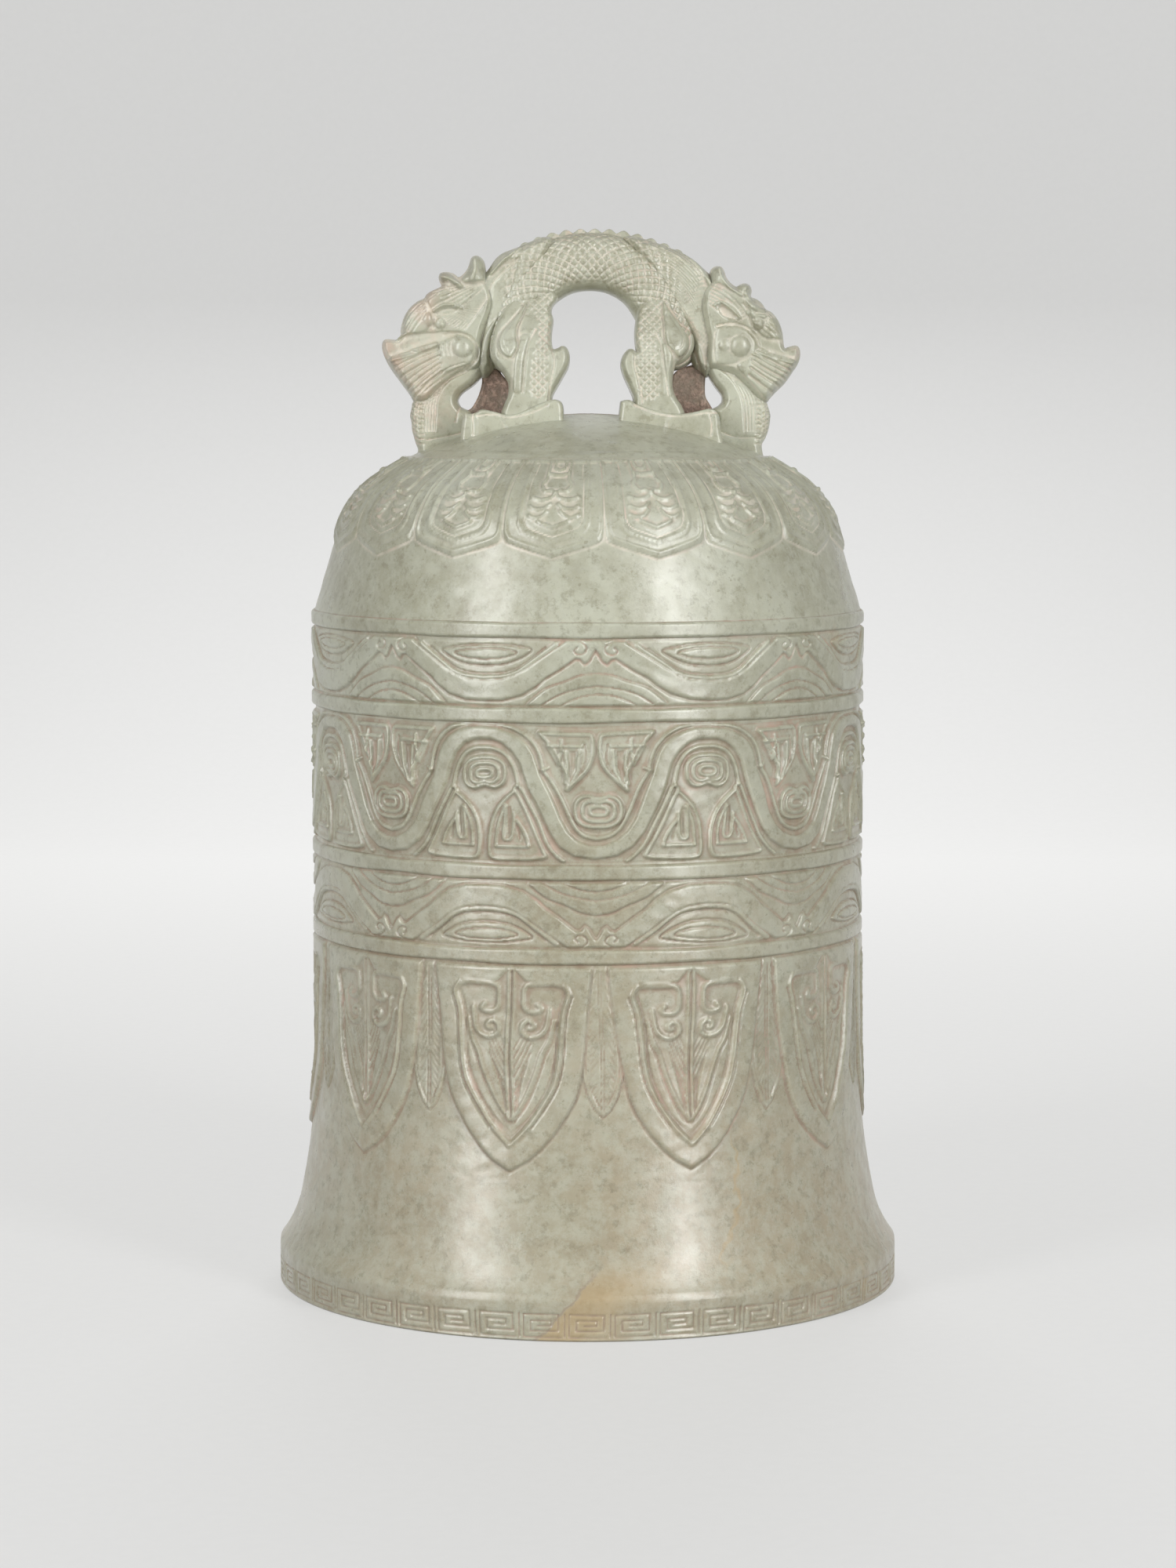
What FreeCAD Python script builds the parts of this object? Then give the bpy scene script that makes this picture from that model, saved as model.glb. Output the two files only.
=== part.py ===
"""Carved nephrite bell with a two-headed dragon handle, standing on its mouth.

The real bell is cut from one pebble, so every piece here is a carved member of
that stone. Members meet face to face: the wall is turned first, the relief lies on
the wall, and the dragon stands on the crown.

Frame: origin at the centre of the mouth's resting plane, +Z up the bell's axis,
the handle lies along X and is seen from the -Y side.
"""
import FreeCAD, Part
import math
import os
import Sketcher

Vector = FreeCAD.Vector
UP = Vector(0, 0, 1)
ACROSS = Vector(1, 0, 0)
DEPTH = Vector(0, 1, 0)

doc = FreeCAD.newDocument("JadeBell")
sheet = doc.addObject("Spreadsheet::Sheet", "Sizes")

# Driving dimensions, in millimetres unless the name says count or angle
SIZES = [
    # Bell wall, from the mouth upwards
    ("rim_flare", 9.5),
    ("lip_joint_height", 21.1),
    ("lip_round", 28.0),
    ("flare_height", 40.9),
    ("flare_round", 197.0),
    ("barrel_radius", 66.5),
    ("barrel_height", 103.0),
    ("shoulder_inset", 26.8),
    ("shoulder_centre_rise", 13.3),
    ("shoulder_round", 21.9),
    ("crown_rise", 33.9),
    ("wall", 7.0),
    # Raised fillets and the motif bands between them, from the shoulder down
    ("relief", 0.95),
    ("fillet_height", 3.8),
    ("fillet_edge_round", 0.3),
    ("eye_band_height", 15.7),
    ("wave_band_height", 32.4),
    ("ribbon_width", 3.3),
    ("band_margin", 0.5),
    ("eye_count", 8),
    ("pattern_turn_angle", 1.9),
    # Lappets round the shoulder
    ("lappet_count", 16),
    ("lappet_turn_angle", 3.75),
    ("lappet_relief", 0.8),
    ("lappet_groove", 0.5),
    ("lappet_top_inset", 20.5),
    ("lappet_side_rise", 21.2),
    ("lappet_tip_rise", 15.2),
    # Blades and feathered leaves hanging from the lowest fillet
    ("blade_count", 10),
    ("blade_turn_angle", 2.8),
    ("blade_length", 47.8),
    ("blade_width", 28.6),
    ("leaf_length", 35.8),
    ("leaf_width", 11.0),
    ("leaf_relief", 0.6),
    # Dragon handle
    ("handle_half_span", 50.0),
    ("handle_rise", 43.2),
    ("trunk_thickness", 14.4),
    ("trunk_depth", 15.0),
    ("leg_thickness", 12.4),
    ("leg_depth", 10.0),
    ("leg_spread", 9.8),
    ("spur_thickness", 4.8),
    ("foot_length", 23.0),
    ("foot_width", 11.0),
    ("foot_rise", 3.4),
    ("foot_turn_angle", 5.0),
    ("foot_sink", 7.0),
    ("head_depth", 19.0),
    ("beard_depth", 15.0),
    ("chest_depth", 14.0),
    ("mane_depth", 17.0),
    ("horn_thickness", 4.4),
    ("horn_spacing", 8.0),
    ("horn_height", 5.6),
    ("crest_thickness", 2.4),
    ("crest_tooth_height", 1.1),
    ("crest_tooth_count", 12),
    ("crest_sink", 2.5),
    # How far a cutting shape runs past what it cuts
    ("overrun", 2.0),
]
for row, (alias, value) in enumerate(SIZES, start=1):
    sheet.set(f"A{row}", alias)
    sheet.set(f"B{row}", str(value))
    sheet.setAlias(f"B{row}", alias)
doc.recompute()


def size(alias):
    """One driving dimension, as a number."""
    return float(sheet.get(alias))


def cell(alias):
    """The same dimension as an expression that a constraint can follow."""
    return "Sizes." + alias


nodes = {}


def keep(name, shape_object):
    """Files an object of the document under the name of its node."""
    shape_object.Label = name
    nodes[name] = shape_object
    return shape_object


def keep_shape(name, shape):
    """A node whose shape is made with Part's own functions."""
    feature = doc.addObject("Part::Feature", name)
    feature.Shape = shape
    feature.Placement = FreeCAD.Placement()
    return keep(name, feature)


# Places on the wall's outline, as expressions. The outline is a chain of tangent
# arcs, so a skin of even thickness over it has the same centres.
BARREL = cell("barrel_radius")
FLARE = cell("flare_round")
LIP = cell("lip_round")
WALL = cell("wall")
RIM = f"({BARREL} + {cell('rim_flare')})"
FLARE_TOP = f"({cell('lip_joint_height')} + {cell('flare_height')})"
SHOULDER_FOOT = f"({FLARE_TOP} + {cell('barrel_height')})"
FLARE_SINE = f"({cell('flare_height')} / {FLARE})"
FLARE_COSINE = f"sqrt(1 - {FLARE_SINE} * {FLARE_SINE})"
LIP_CENTRE_R = f"({BARREL} + {FLARE} - ({FLARE} - {LIP}) * {FLARE_COSINE})"
LIP_CENTRE_Z = f"({cell('lip_joint_height')} + {LIP} * {FLARE_SINE})"


def flare_joint(into_wall):
    """Where the wide flare meets the tighter lip, that deep under the outer face."""
    reach = f"({FLARE} + {into_wall})"
    return (
        f"{BARREL} + {FLARE} - {reach} * {FLARE_COSINE}",
        f"{FLARE_TOP} - {reach} * {FLARE_SINE}",
    )


def lip_foot(into_wall):
    """Where the lip's arc meets the upright rim band."""
    radius = f"({RIM} - {into_wall})"
    reach = f"({LIP} + {into_wall})"
    across = f"({LIP_CENTRE_R} - {radius})"
    return radius, f"{LIP_CENTRE_Z} - sqrt({reach} * {reach} - {across} * {across})"


SHOULDER_R = f"({BARREL} - {cell('shoulder_inset')})"
SHOULDER_Z = f"({SHOULDER_FOOT} + {cell('shoulder_centre_rise')})"
ROUND = cell("shoulder_round")
FOOT_ACROSS = f"({BARREL} - {SHOULDER_R})"
FOOT_DOWN = cell("shoulder_centre_rise")
FOOT_SQUARE = f"({FOOT_ACROSS} * {FOOT_ACROSS} + {FOOT_DOWN} * {FOOT_DOWN})"
TANGENT = f"sqrt({FOOT_SQUARE} - {ROUND} * {ROUND})"
# Unit direction from the shoulder's centre to where the sloping side becomes round
SIDE_R = f"(({ROUND} * {FOOT_ACROSS} + {TANGENT} * {FOOT_DOWN}) / {FOOT_SQUARE})"
SIDE_Z = f"(({TANGENT} * {FOOT_ACROSS} - {ROUND} * {FOOT_DOWN}) / {FOOT_SQUARE})"
RISE = cell("crown_rise")
CROWN_ROUND = (
    f"(({SHOULDER_R} * {SHOULDER_R} + {RISE} * {RISE} - {ROUND} * {ROUND})"
    f" / (2 * ({RISE} - {ROUND})))"
)
APEX = f"({SHOULDER_Z} + {RISE})"
CROWN_Z = f"({APEX} - {CROWN_ROUND})"
CROWN_R_SHARE = f"({SHOULDER_R} / ({CROWN_ROUND} - {ROUND}))"
CROWN_Z_SHARE = f"(({SHOULDER_Z} - {CROWN_Z}) / ({CROWN_ROUND} - {ROUND}))"


def number(expression):
    """The value that an expression has now."""
    return float(sheet.evalExpression(expression))


def side_end(into_wall):
    reach = f"({ROUND} - {into_wall})"
    return f"{SHOULDER_R} + {reach} * {SIDE_R}", f"{SHOULDER_Z} + {reach} * {SIDE_Z}"


def side_foot(into_wall):
    """Where the sloping side, at that depth, meets the barrel at the same depth."""
    radius = f"({BARREL} - {into_wall})"
    end_r, end_z = side_end(into_wall)
    return radius, f"({end_z}) - ({radius} - ({end_r})) * {SIDE_R} / {SIDE_Z}"


def crown_joint(into_wall):
    reach = f"({CROWN_ROUND} - {into_wall})"
    return f"{reach} * {CROWN_R_SHARE}", f"{CROWN_Z} + {reach} * {CROWN_Z_SHARE}"


def draw_outline(sketch, corners):
    """Draws a closed outline. A corner is (x, z, edge to the next corner), where the
    edge is None for a line, or (radius, 1 or -1) for an arc that turns to the left
    or to the right. Every corner and radius follows the sheet."""
    places = [Vector(number(x), number(z), 0) for x, z, _ in corners]
    ends = []
    for i, (_, _, edge) in enumerate(corners):
        start, stop = places[i], places[(i + 1) % len(corners)]
        if edge is None:
            geometry = sketch.addGeometry(Part.LineSegment(start, stop), False)
            ends.append((geometry, 1, 2))
            continue
        radius, turn = number(edge[0]), edge[1]
        half = (stop - start) / 2
        reach = math.sqrt(radius * radius - half.Length * half.Length)
        left = Vector(-half.y, half.x, 0).normalize()
        centre = start + half + left * (turn * reach)
        angles = [math.atan2(p.y - centre.y, p.x - centre.x) for p in (start, stop)]
        if turn < 0:
            angles.reverse()
        circle = Part.Circle(centre, UP, radius)
        geometry = sketch.addGeometry(Part.ArcOfCircle(circle, *angles), False)
        ends.append((geometry, 1, 2) if turn > 0 else (geometry, 2, 1))
        index = sketch.addConstraint(Sketcher.Constraint("Radius", geometry, radius))
        sketch.renameConstraint(index, f"round_{i}")
        sketch.setExpression(f"Constraints.round_{i}", edge[0])
    for i, (x, z, _) in enumerate(corners):
        geometry, start, _ = ends[i]
        before, _, stop = ends[i - 1]
        sketch.addConstraint(Sketcher.Constraint("Coincident", before, stop, geometry, start))
        for kind, axis, value, expression in (
            ("DistanceX", -2, places[i].x, x),
            ("DistanceY", -1, places[i].y, z),
        ):
            if expression == "0":
                sketch.addConstraint(Sketcher.Constraint("PointOnObject", geometry, start, axis))
                continue
            index = sketch.addConstraint(
                Sketcher.Constraint(kind, -1, 1, geometry, start, value)
            )
            label = f"{'across' if kind == 'DistanceX' else 'up'}_{i}"
            sketch.renameConstraint(index, label)
            sketch.setExpression(f"Constraints.{label}", expression)


def turned_body(name, corners):
    """A body turned round the bell's axis from an outline in the XZ plane."""
    body = doc.addObject("PartDesign::Body", name)
    sketch = body.newObject("Sketcher::SketchObject", name + "_outline")
    plane = next(f for f in body.Origin.OriginFeatures if f.Role == "XZ_Plane")
    sketch.AttachmentSupport = [(plane, "")]
    sketch.MapMode = "FlatFace"
    doc.recompute()
    draw_outline(sketch, corners)
    turn = body.newObject("PartDesign::Revolution", name + "_turned")
    turn.Profile = sketch
    turn.ReferenceAxis = (sketch, ["V_Axis"])
    turn.Angle = 360
    doc.recompute()
    return body


def make_bell_wall():
    """Crown, shoulder, barrel and flared lip, hollow to an even wall."""
    outer_joint, inner_joint = flare_joint("0"), flare_joint(WALL)
    outer_foot, inner_foot = lip_foot("0"), lip_foot(WALL)
    inner_side_foot = side_foot(WALL)
    corners = [
        (RIM, "0", None),
        (*outer_foot, (LIP, -1)),
        (*outer_joint, (FLARE, -1)),
        (BARREL, FLARE_TOP, None),
        (BARREL, SHOULDER_FOOT, None),
        (*side_end("0"), (ROUND, 1)),
        (*crown_joint("0"), (CROWN_ROUND, 1)),
        ("0", APEX, None),
        ("0", f"{APEX} - {WALL}", (f"{CROWN_ROUND} - {WALL}", -1)),
        (*crown_joint(WALL), (f"{ROUND} - {WALL}", -1)),
        (*side_end(WALL), None),
        (*inner_side_foot, None),
        (f"{BARREL} - {WALL}", FLARE_TOP, (f"{FLARE} + {WALL}", 1)),
        (*inner_joint, (f"{LIP} + {WALL}", 1)),
        (*inner_foot, None),
        (f"{RIM} - {WALL}", "0", None),
    ]
    return keep("bell_wall", turned_body("bell_wall", corners))


def fillet_base(order):
    """Height of the underside of a fillet, counted from the shoulder down."""
    eye, wave = cell("eye_band_height"), cell("wave_band_height")
    bands = ["0", eye, f"({eye} + {wave})", f"({eye} + {wave} + {eye})"]
    return f"{SHOULDER_FOOT} - {order + 1} * {cell('fillet_height')} - {bands[order]}"


def make_fillet(name, order):
    """A raised ring round the barrel, with its two outer edges eased."""
    low = fillet_base(order)
    high = f"{low} + {cell('fillet_height')}"
    face = f"{BARREL} + {cell('relief')}"
    corners = [(BARREL, low, None), (face, low, None), (face, high, None), (BARREL, high, None)]
    body = turned_body(name, corners)
    ring = body.Tip
    proud = size("barrel_radius") + size("relief")
    edges = [
        f"Edge{i}"
        for i, edge in enumerate(ring.Shape.Edges, start=1)
        if hasattr(edge.Curve, "Radius") and abs(edge.Curve.Radius - proud) < size("relief") / 2
    ]
    eased = body.newObject("PartDesign::Fillet", name + "_eased")
    eased.Base = (ring, edges)
    eased.setExpression("Radius", cell("fillet_edge_round"))
    doc.recompute()
    return keep(name, body)


def at_angle(shape, degrees):
    """A copy turned round the bell's axis. Angle 0 faces -Y."""
    copy = shape.copy()
    copy.rotate(Vector(), UP, degrees)
    return copy


def round_the_bell(unit, count, first_angle):
    """A ring of copies of one unit."""
    pitch = 360.0 / count
    return Part.makeCompound([at_angle(unit, first_angle + i * pitch) for i in range(count)])


def shadow(face_points, curved=()):
    """A bar along Y whose section is the outline in the XZ plane. Stretches between
    the point numbers in curved are smooth curves, and the rest are straight."""
    edges = []
    i = 0
    stretches = dict(curved)
    while i < len(face_points):
        stop = stretches.get(i, i + 1)
        run = [face_points[k % len(face_points)] for k in range(i, stop + 1)]
        if len(run) == 2:
            edges.append(Part.makeLine(*run))
        else:
            curve = Part.BSplineCurve()
            curve.interpolate(run)
            edges.append(curve.toShape())
        i = stop
    face = Part.Face(Part.Wire(edges))
    reach = number(RIM) + size("overrun")
    return face.extrude(DEPTH * -reach)


def barrel_sheet(low, high, proud, width_angle):
    """The layer of stone that stands proud of the barrel, over one sector."""
    height = high - low
    start = Vector(0, 0, low)
    outer = Part.makeCylinder(size("barrel_radius") + proud, height, start, UP, width_angle)
    inner = Part.makeCylinder(size("barrel_radius"), height, start, UP, width_angle)
    sector = outer.cut(inner)
    return at_angle(sector, -90 - width_angle / 2)


BAND_TOPS = {
    "upper": number(fillet_base(0)),
    "wave": number(fillet_base(1)),
    "lower": number(fillet_base(2)),
}
EYE_PITCH = 360.0 / size("eye_count")
EYE_FIRST = size("pattern_turn_angle") - EYE_PITCH / 2


def band_point(angle_share, height_share, low, height):
    """A point of a motif: its turn from the unit's middle, as a share of the pitch,
    and its height, as a share of the band's."""
    turn = math.radians(angle_share * EYE_PITCH)
    return Vector(size("barrel_radius") * math.sin(turn), 0, low + height_share * height)


# Half outlines of the eye band's motifs, middle first: turn and height shares
CRESCENT_LOWER_SHARES = [(0.0, 0.06), (0.14, 0.11), (0.245, 0.29), (0.367, 0.57), (0.435, 0.80)]
CRESCENT_UPPER_SHARES = [(0.40, 0.97), (0.31, 0.82), (0.20, 0.57), (0.14, 0.46), (0.0, 0.37)]
PUPIL_SHARES = [(-0.13, 0.76), (0.0, 0.66), (0.13, 0.76), (0.0, 0.88)]
HILL_SHARES = [(-0.26, 0.03), (-0.15, 0.24), (0.0, 0.50), (0.15, 0.24), (0.26, 0.03)]


def eye_band_unit(shares, curved, upside_down):
    """One motif of an eye band. The lower band is the upper one turned over."""
    margin = size("band_margin")
    top = BAND_TOPS["lower" if upside_down else "upper"]
    height = size("eye_band_height") - 2 * margin
    low = top - size("eye_band_height") + margin
    flip = (lambda share: 1 - share) if upside_down else (lambda share: share)
    points = [band_point(a, flip(z), low, height) for a, z in shares]
    layer = barrel_sheet(low, low + height, size("relief"), EYE_PITCH)
    return layer.common(shadow(points, curved))


def make_eye_band(side, upside_down):
    mirrored_low = [(-a, z) for a, z in reversed(CRESCENT_LOWER_SHARES[1:])]
    mirrored_high = [(-a, z) for a, z in reversed(CRESCENT_UPPER_SHARES[:-1])]
    crescent = mirrored_low + CRESCENT_LOWER_SHARES + CRESCENT_UPPER_SHARES + mirrored_high
    last = len(CRESCENT_LOWER_SHARES) * 2 - 2
    tail = last + len(CRESCENT_UPPER_SHARES) * 2 - 1
    unit = eye_band_unit(crescent, ((0, last), (last + 1, tail)), upside_down)
    count = int(size("eye_count"))
    keep_shape(f"{side}_crescents", round_the_bell(unit, count, EYE_FIRST))
    unit = eye_band_unit(PUPIL_SHARES, ((0, 2), (2, 4)), upside_down)
    keep_shape(f"{side}_eyes", round_the_bell(unit, count, EYE_FIRST))
    unit = eye_band_unit(HILL_SHARES, ((0, 4),), upside_down)
    keep_shape(f"{side}_hills", round_the_bell(unit, count, EYE_FIRST + EYE_PITCH / 2))


# The wave's line over half a pitch, from a crest down to a trough, and the boss and
# fangs that fill the bays on either side
WAVE_LINE_SHARES = [
    (0.0, 1.0), (0.13, 0.93), (0.21, 0.74), (0.27, 0.50), (0.33, 0.26), (0.40, 0.07),
    (0.5, 0.0),
]
BOSS_SHARES = [(-0.085, 0.0), (0.0, -0.085), (0.085, 0.0), (0.0, 0.085)]
BOSS_HEIGHT_SHARE = 0.66
FANG_SHARES = [(0.05, 0.03), (0.19, 0.03), (0.15, 0.26), (0.09, 0.48), (0.05, 0.30)]


def wave_edge(offset):
    """The wave's line over one whole pitch, moved sideways by an offset."""
    low = BAND_TOPS["wave"] - size("wave_band_height") + size("band_margin") + size("ribbon_width") / 2
    height = size("wave_band_height") - 2 * size("band_margin") - size("ribbon_width")
    right = [(a, z) for a, z in WAVE_LINE_SHARES]
    left = [(-a, z) for a, z in reversed(right[1:])]
    line = [band_point(a, z, low, height) for a, z in left + right]
    moved = []
    for i, point in enumerate(line):
        before, after = line[max(i - 1, 0)], line[min(i + 1, len(line) - 1)]
        along = (after - before).normalize()
        if i in (0, len(line) - 1):
            along = ACROSS
        moved.append(point + Vector(-along.z, 0, along.x) * offset)
    return moved


def make_wave_band():
    """The running ribbon, and the bosses and fangs in its bays."""
    margin = size("band_margin")
    low = BAND_TOPS["wave"] - size("wave_band_height") + margin
    height = size("wave_band_height") - 2 * margin
    over = wave_edge(size("ribbon_width") / 2)
    under = wave_edge(-size("ribbon_width") / 2)
    run = ACROSS * size("overrun")
    over = [over[0] - run, *over, over[-1] + run]
    under = [under[0] - run, *under, under[-1] + run]
    outline = over + list(reversed(under))
    bar = shadow(outline, ((0, len(over) - 1), (len(over), len(outline) - 1)))
    layer = barrel_sheet(low, low + height, size("relief"), EYE_PITCH)
    unit = layer.common(bar)
    count = int(size("eye_count"))
    pieces = [at_angle(unit, EYE_FIRST + i * EYE_PITCH) for i in range(count)]
    ribbon = pieces[0].multiFuse(pieces[1:])
    keep_shape("wave_ribbon", ribbon)

    bosses, fangs = [], []
    for upside_down in (False, True):
        first = EYE_FIRST + (EYE_PITCH / 2 if upside_down else 0)
        flip = -1 if upside_down else 1
        middle = low + height * (0.5 + flip * (BOSS_HEIGHT_SHARE - 0.5))
        stretch = EYE_PITCH / 360 * 2 * math.pi * size("barrel_radius")
        points = [Vector(a * stretch, 0, middle + z * stretch) for a, z in BOSS_SHARES]
        ring = shadow(points, ((0, 2), (2, 4)))
        bosses.append(round_the_bell(layer.common(ring), count, first))
        for side in (-1, 1):
            points = [
                band_point(side * a, z if flip > 0 else 1 - z, low, height) for a, z in FANG_SHARES
            ]
            tooth = shadow(points, ((1, 3), (3, 5)))
            fangs.append(round_the_bell(layer.common(tooth), count, first))
    keep_shape("wave_bosses", Part.makeCompound([s for group in bosses for s in group.Solids]))
    keep_shape("wave_fangs", Part.makeCompound([s for group in fangs for s in group.Solids]))


def arc_between(start, stop, centre, radius):
    """An arc of a circle in the XZ plane, the short way round."""
    middle = (start + stop) / 2 - centre
    return Part.Arc(start, centre + middle.normalize() * radius, stop).toShape()


def skirt_sheet(low, proud, width_angle):
    """The layer of stone proud of the barrel and of the flare, down to a height."""
    radius, round_ = size("barrel_radius"), size("flare_round")
    top = number(fillet_base(3))
    flare_top = number(FLARE_TOP)
    centre = Vector(radius + round_, 0, flare_top)

    def on_flare(out):
        reach = round_ - out
        drop = flare_top - low
        return Vector(centre.x - math.sqrt(reach * reach - drop * drop), 0, low)

    wire = Part.Wire([
        Part.makeLine(Vector(radius, 0, top), Vector(radius + proud, 0, top)),
        Part.makeLine(Vector(radius + proud, 0, top), Vector(radius + proud, 0, flare_top)),
        arc_between(Vector(radius + proud, 0, flare_top), on_flare(proud), centre, round_ - proud),
        Part.makeLine(on_flare(proud), on_flare(0)),
        arc_between(on_flare(0), Vector(radius, 0, flare_top), centre, round_),
        Part.makeLine(Vector(radius, 0, flare_top), Vector(radius, 0, top)),
    ])
    sector = Part.Face(wire).revolve(Vector(), UP, width_angle)
    return at_angle(sector, -90 - width_angle / 2)


# Half outlines of the hanging shapes: shares of the half width and of the length
BLADE_SHARES = [(0.98, 0.0), (0.94, 0.25), (0.76, 0.55), (0.44, 0.80), (0.0, 1.0)]
LEAF_SHARES = [(0.50, 0.0), (0.85, 0.30), (1.0, 0.62), (0.55, 0.84), (0.0, 1.0)]


def hanging_unit(shares, width, length, proud, pitch):
    """One blade or leaf, wide at the fillet and pointed below."""
    top = number(fillet_base(3))
    right = [Vector(w * width / 2, 0, top - l * length) for w, l in shares]
    left = [Vector(-p.x, 0, p.z) for p in reversed(right[:-1])]
    bar = shadow(right + left, ((0, 4), (4, 8)))
    return skirt_sheet(top - length - size("overrun"), proud, pitch).common(bar)


def make_hanging_blades():
    count = int(size("blade_count"))
    pitch = 360.0 / count
    first = size("blade_turn_angle")
    blade = hanging_unit(
        BLADE_SHARES, size("blade_width"), size("blade_length"), size("relief"), pitch
    )
    leaf = hanging_unit(
        LEAF_SHARES, size("leaf_width"), size("leaf_length"), size("leaf_relief"), pitch
    )
    sides = [at_angle(blade, -pitch / 2), at_angle(blade, pitch / 2)]
    leaf = leaf.cut(sides[0].multiFuse(sides[1:]))
    leaf = max(leaf.Solids, key=lambda solid: solid.Volume)
    keep_shape("hanging_blades", round_the_bell(blade, count, first + pitch / 2))
    keep_shape("feather_leaves", round_the_bell(leaf, count, first))


LAPPET_CORNER_SHARE = 0.80
LAPPET_BOW_SHARE = 0.45


def make_lappets():
    """Pointed petals over the shoulder, side by side with a narrow groove between."""
    proud = size("lappet_relief")
    count = int(size("lappet_count"))
    pitch = 360.0 / count
    groove = math.degrees(size("lappet_groove") / size("barrel_radius"))
    low = number(SHOULDER_FOOT) + size("lappet_tip_rise") - size("overrun")
    centre = Vector(number(SHOULDER_R), 0, number(SHOULDER_Z))
    crown = Vector(0, 0, number(CROWN_Z))
    crown_round, shoulder_round = number(CROWN_ROUND), size("shoulder_round")
    side = Vector(number(SIDE_R), 0, number(SIDE_Z))
    slope = side.x / side.z
    join = Vector(number(CROWN_R_SHARE), 0, number(CROWN_Z_SHARE))

    def layer_points(out):
        end = centre + side * (shoulder_round + out)
        foot = Vector(end.x + (end.z - low) * side.z / side.x, 0, low)
        top_radius = size("barrel_radius") - size("lappet_top_inset")
        reach = crown_round + out
        top = Vector(top_radius, 0, crown.z + math.sqrt(reach**2 - top_radius**2))
        return foot, end, crown + join * reach, top

    in_foot, in_end, in_join, in_top = layer_points(0)
    out_foot, out_end, out_join, out_top = layer_points(proud)
    wire = Part.Wire([
        Part.makeLine(in_foot, out_foot),
        Part.makeLine(out_foot, out_end),
        arc_between(out_end, out_join, centre, shoulder_round + proud),
        arc_between(out_join, out_top, crown, crown_round + proud),
        Part.makeLine(out_top, in_top),
        arc_between(in_top, in_join, crown, crown_round),
        arc_between(in_join, in_end, centre, shoulder_round),
        Part.makeLine(in_end, in_foot),
    ])
    width = pitch - groove
    sector = at_angle(Part.Face(wire).revolve(Vector(), UP, width), -90 - width / 2)
    half = size("barrel_radius") * math.sin(math.radians(pitch / 2))
    foot_z = number(SHOULDER_FOOT)
    side_z, tip_z = foot_z + size("lappet_side_rise"), foot_z + size("lappet_tip_rise")
    bow = (side_z - tip_z) * LAPPET_BOW_SHARE
    above = number(APEX)
    points = [
        Vector(-half, 0, above), Vector(-half, 0, side_z),
        Vector(-half * LAPPET_CORNER_SHARE, 0, side_z - bow), Vector(0, 0, tip_z),
        Vector(half * LAPPET_CORNER_SHARE, 0, side_z - bow), Vector(half, 0, side_z),
        Vector(half, 0, above),
    ]
    unit = sector.common(shadow(points))
    return keep_shape(
        "shoulder_lappets", round_the_bell(unit, count, size("lappet_turn_angle") + pitch / 2)
    )


# The dragon. Places are shares of the handle's half span, depth of stance and rise
# over the crown, on the right-hand side; the left-hand side is their mirror image.


def handle_place(x_share, z_share, y=0.0):
    return Vector(
        x_share * size("handle_half_span"), y, number(APEX) + z_share * size("handle_rise")
    )


OVAL_POINTS = 10


def limb(stations):
    """A swelling, tapering limb through oval sections. A station is its middle, its
    half thickness in the handle's plane and its half depth across it."""
    middles = [place for place, _, _ in stations]
    ovals = []
    for i, (place, half_thick, half_deep) in enumerate(stations):
        along = middles[min(i + 1, len(middles) - 1)] - middles[max(i - 1, 0)]
        along.normalize()
        flat = along.cross(DEPTH).normalize()
        deep = flat.cross(along).normalize()
        rim = []
        for k in range(OVAL_POINTS):
            turn = 2 * math.pi * k / OVAL_POINTS
            rim.append(
                place + flat * (half_thick * math.cos(turn)) + deep * (half_deep * math.sin(turn))
            )
        oval = Part.BSplineCurve()
        oval.interpolate(Points=rim, PeriodicFlag=True)
        ovals.append(Part.Wire([oval.toShape()]))
    return Part.makeLoft(ovals, True, False)


def mirrored(shape):
    return shape.mirror(Vector(), ACROSS)


def largest(shape):
    return max(shape.Solids, key=lambda solid: solid.Volume)


# x, z, thickness and depth shares of the trunk, from the middle to the right foot
TRUNK_SHARES = [
    (0.0, 0.845, 1.0, 1.0), (0.16, 0.81, 0.99, 1.0), (0.265, 0.70, 0.90, 0.98),
    (0.30, 0.54, 0.80, 0.90), (0.31, 0.32, 0.88, 0.80), (0.32, 0.12, 0.98, 0.74),
    (0.34, -0.16, 1.10, 0.76),
]


def trunk_stations():
    right = [
        (handle_place(x, z), t * size("trunk_thickness") / 2, d * size("trunk_depth") / 2)
        for x, z, t, d in TRUNK_SHARES
    ]
    left = [(Vector(-p.x, p.y, p.z), t, d) for p, t, d in reversed(right[1:])]
    return left + right


# x and z shares, share of the leg's spread, then thickness and depth shares
LEG_SHARES = [
    (0.29, 0.60, 0.50, 0.86, 0.80), (0.30, 0.47, 0.86, 1.06, 0.94), (0.295, 0.33, 1.0, 1.04, 1.0),
    (0.275, 0.20, 1.02, 0.92, 0.9), (0.268, 0.11, 1.0, 0.80, 0.82), (0.272, 0.02, 1.0, 0.86, 0.9),
    (0.275, -0.12, 1.0, 0.94, 0.96),
]
SPUR_SHARES = [
    (0.25, 0.08, 1.0, 1.1), (0.18, 0.12, 1.0, 1.05), (0.135, 0.23, 1.0, 0.75), (0.112, 0.345, 1.0, 0.3),
]


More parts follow.
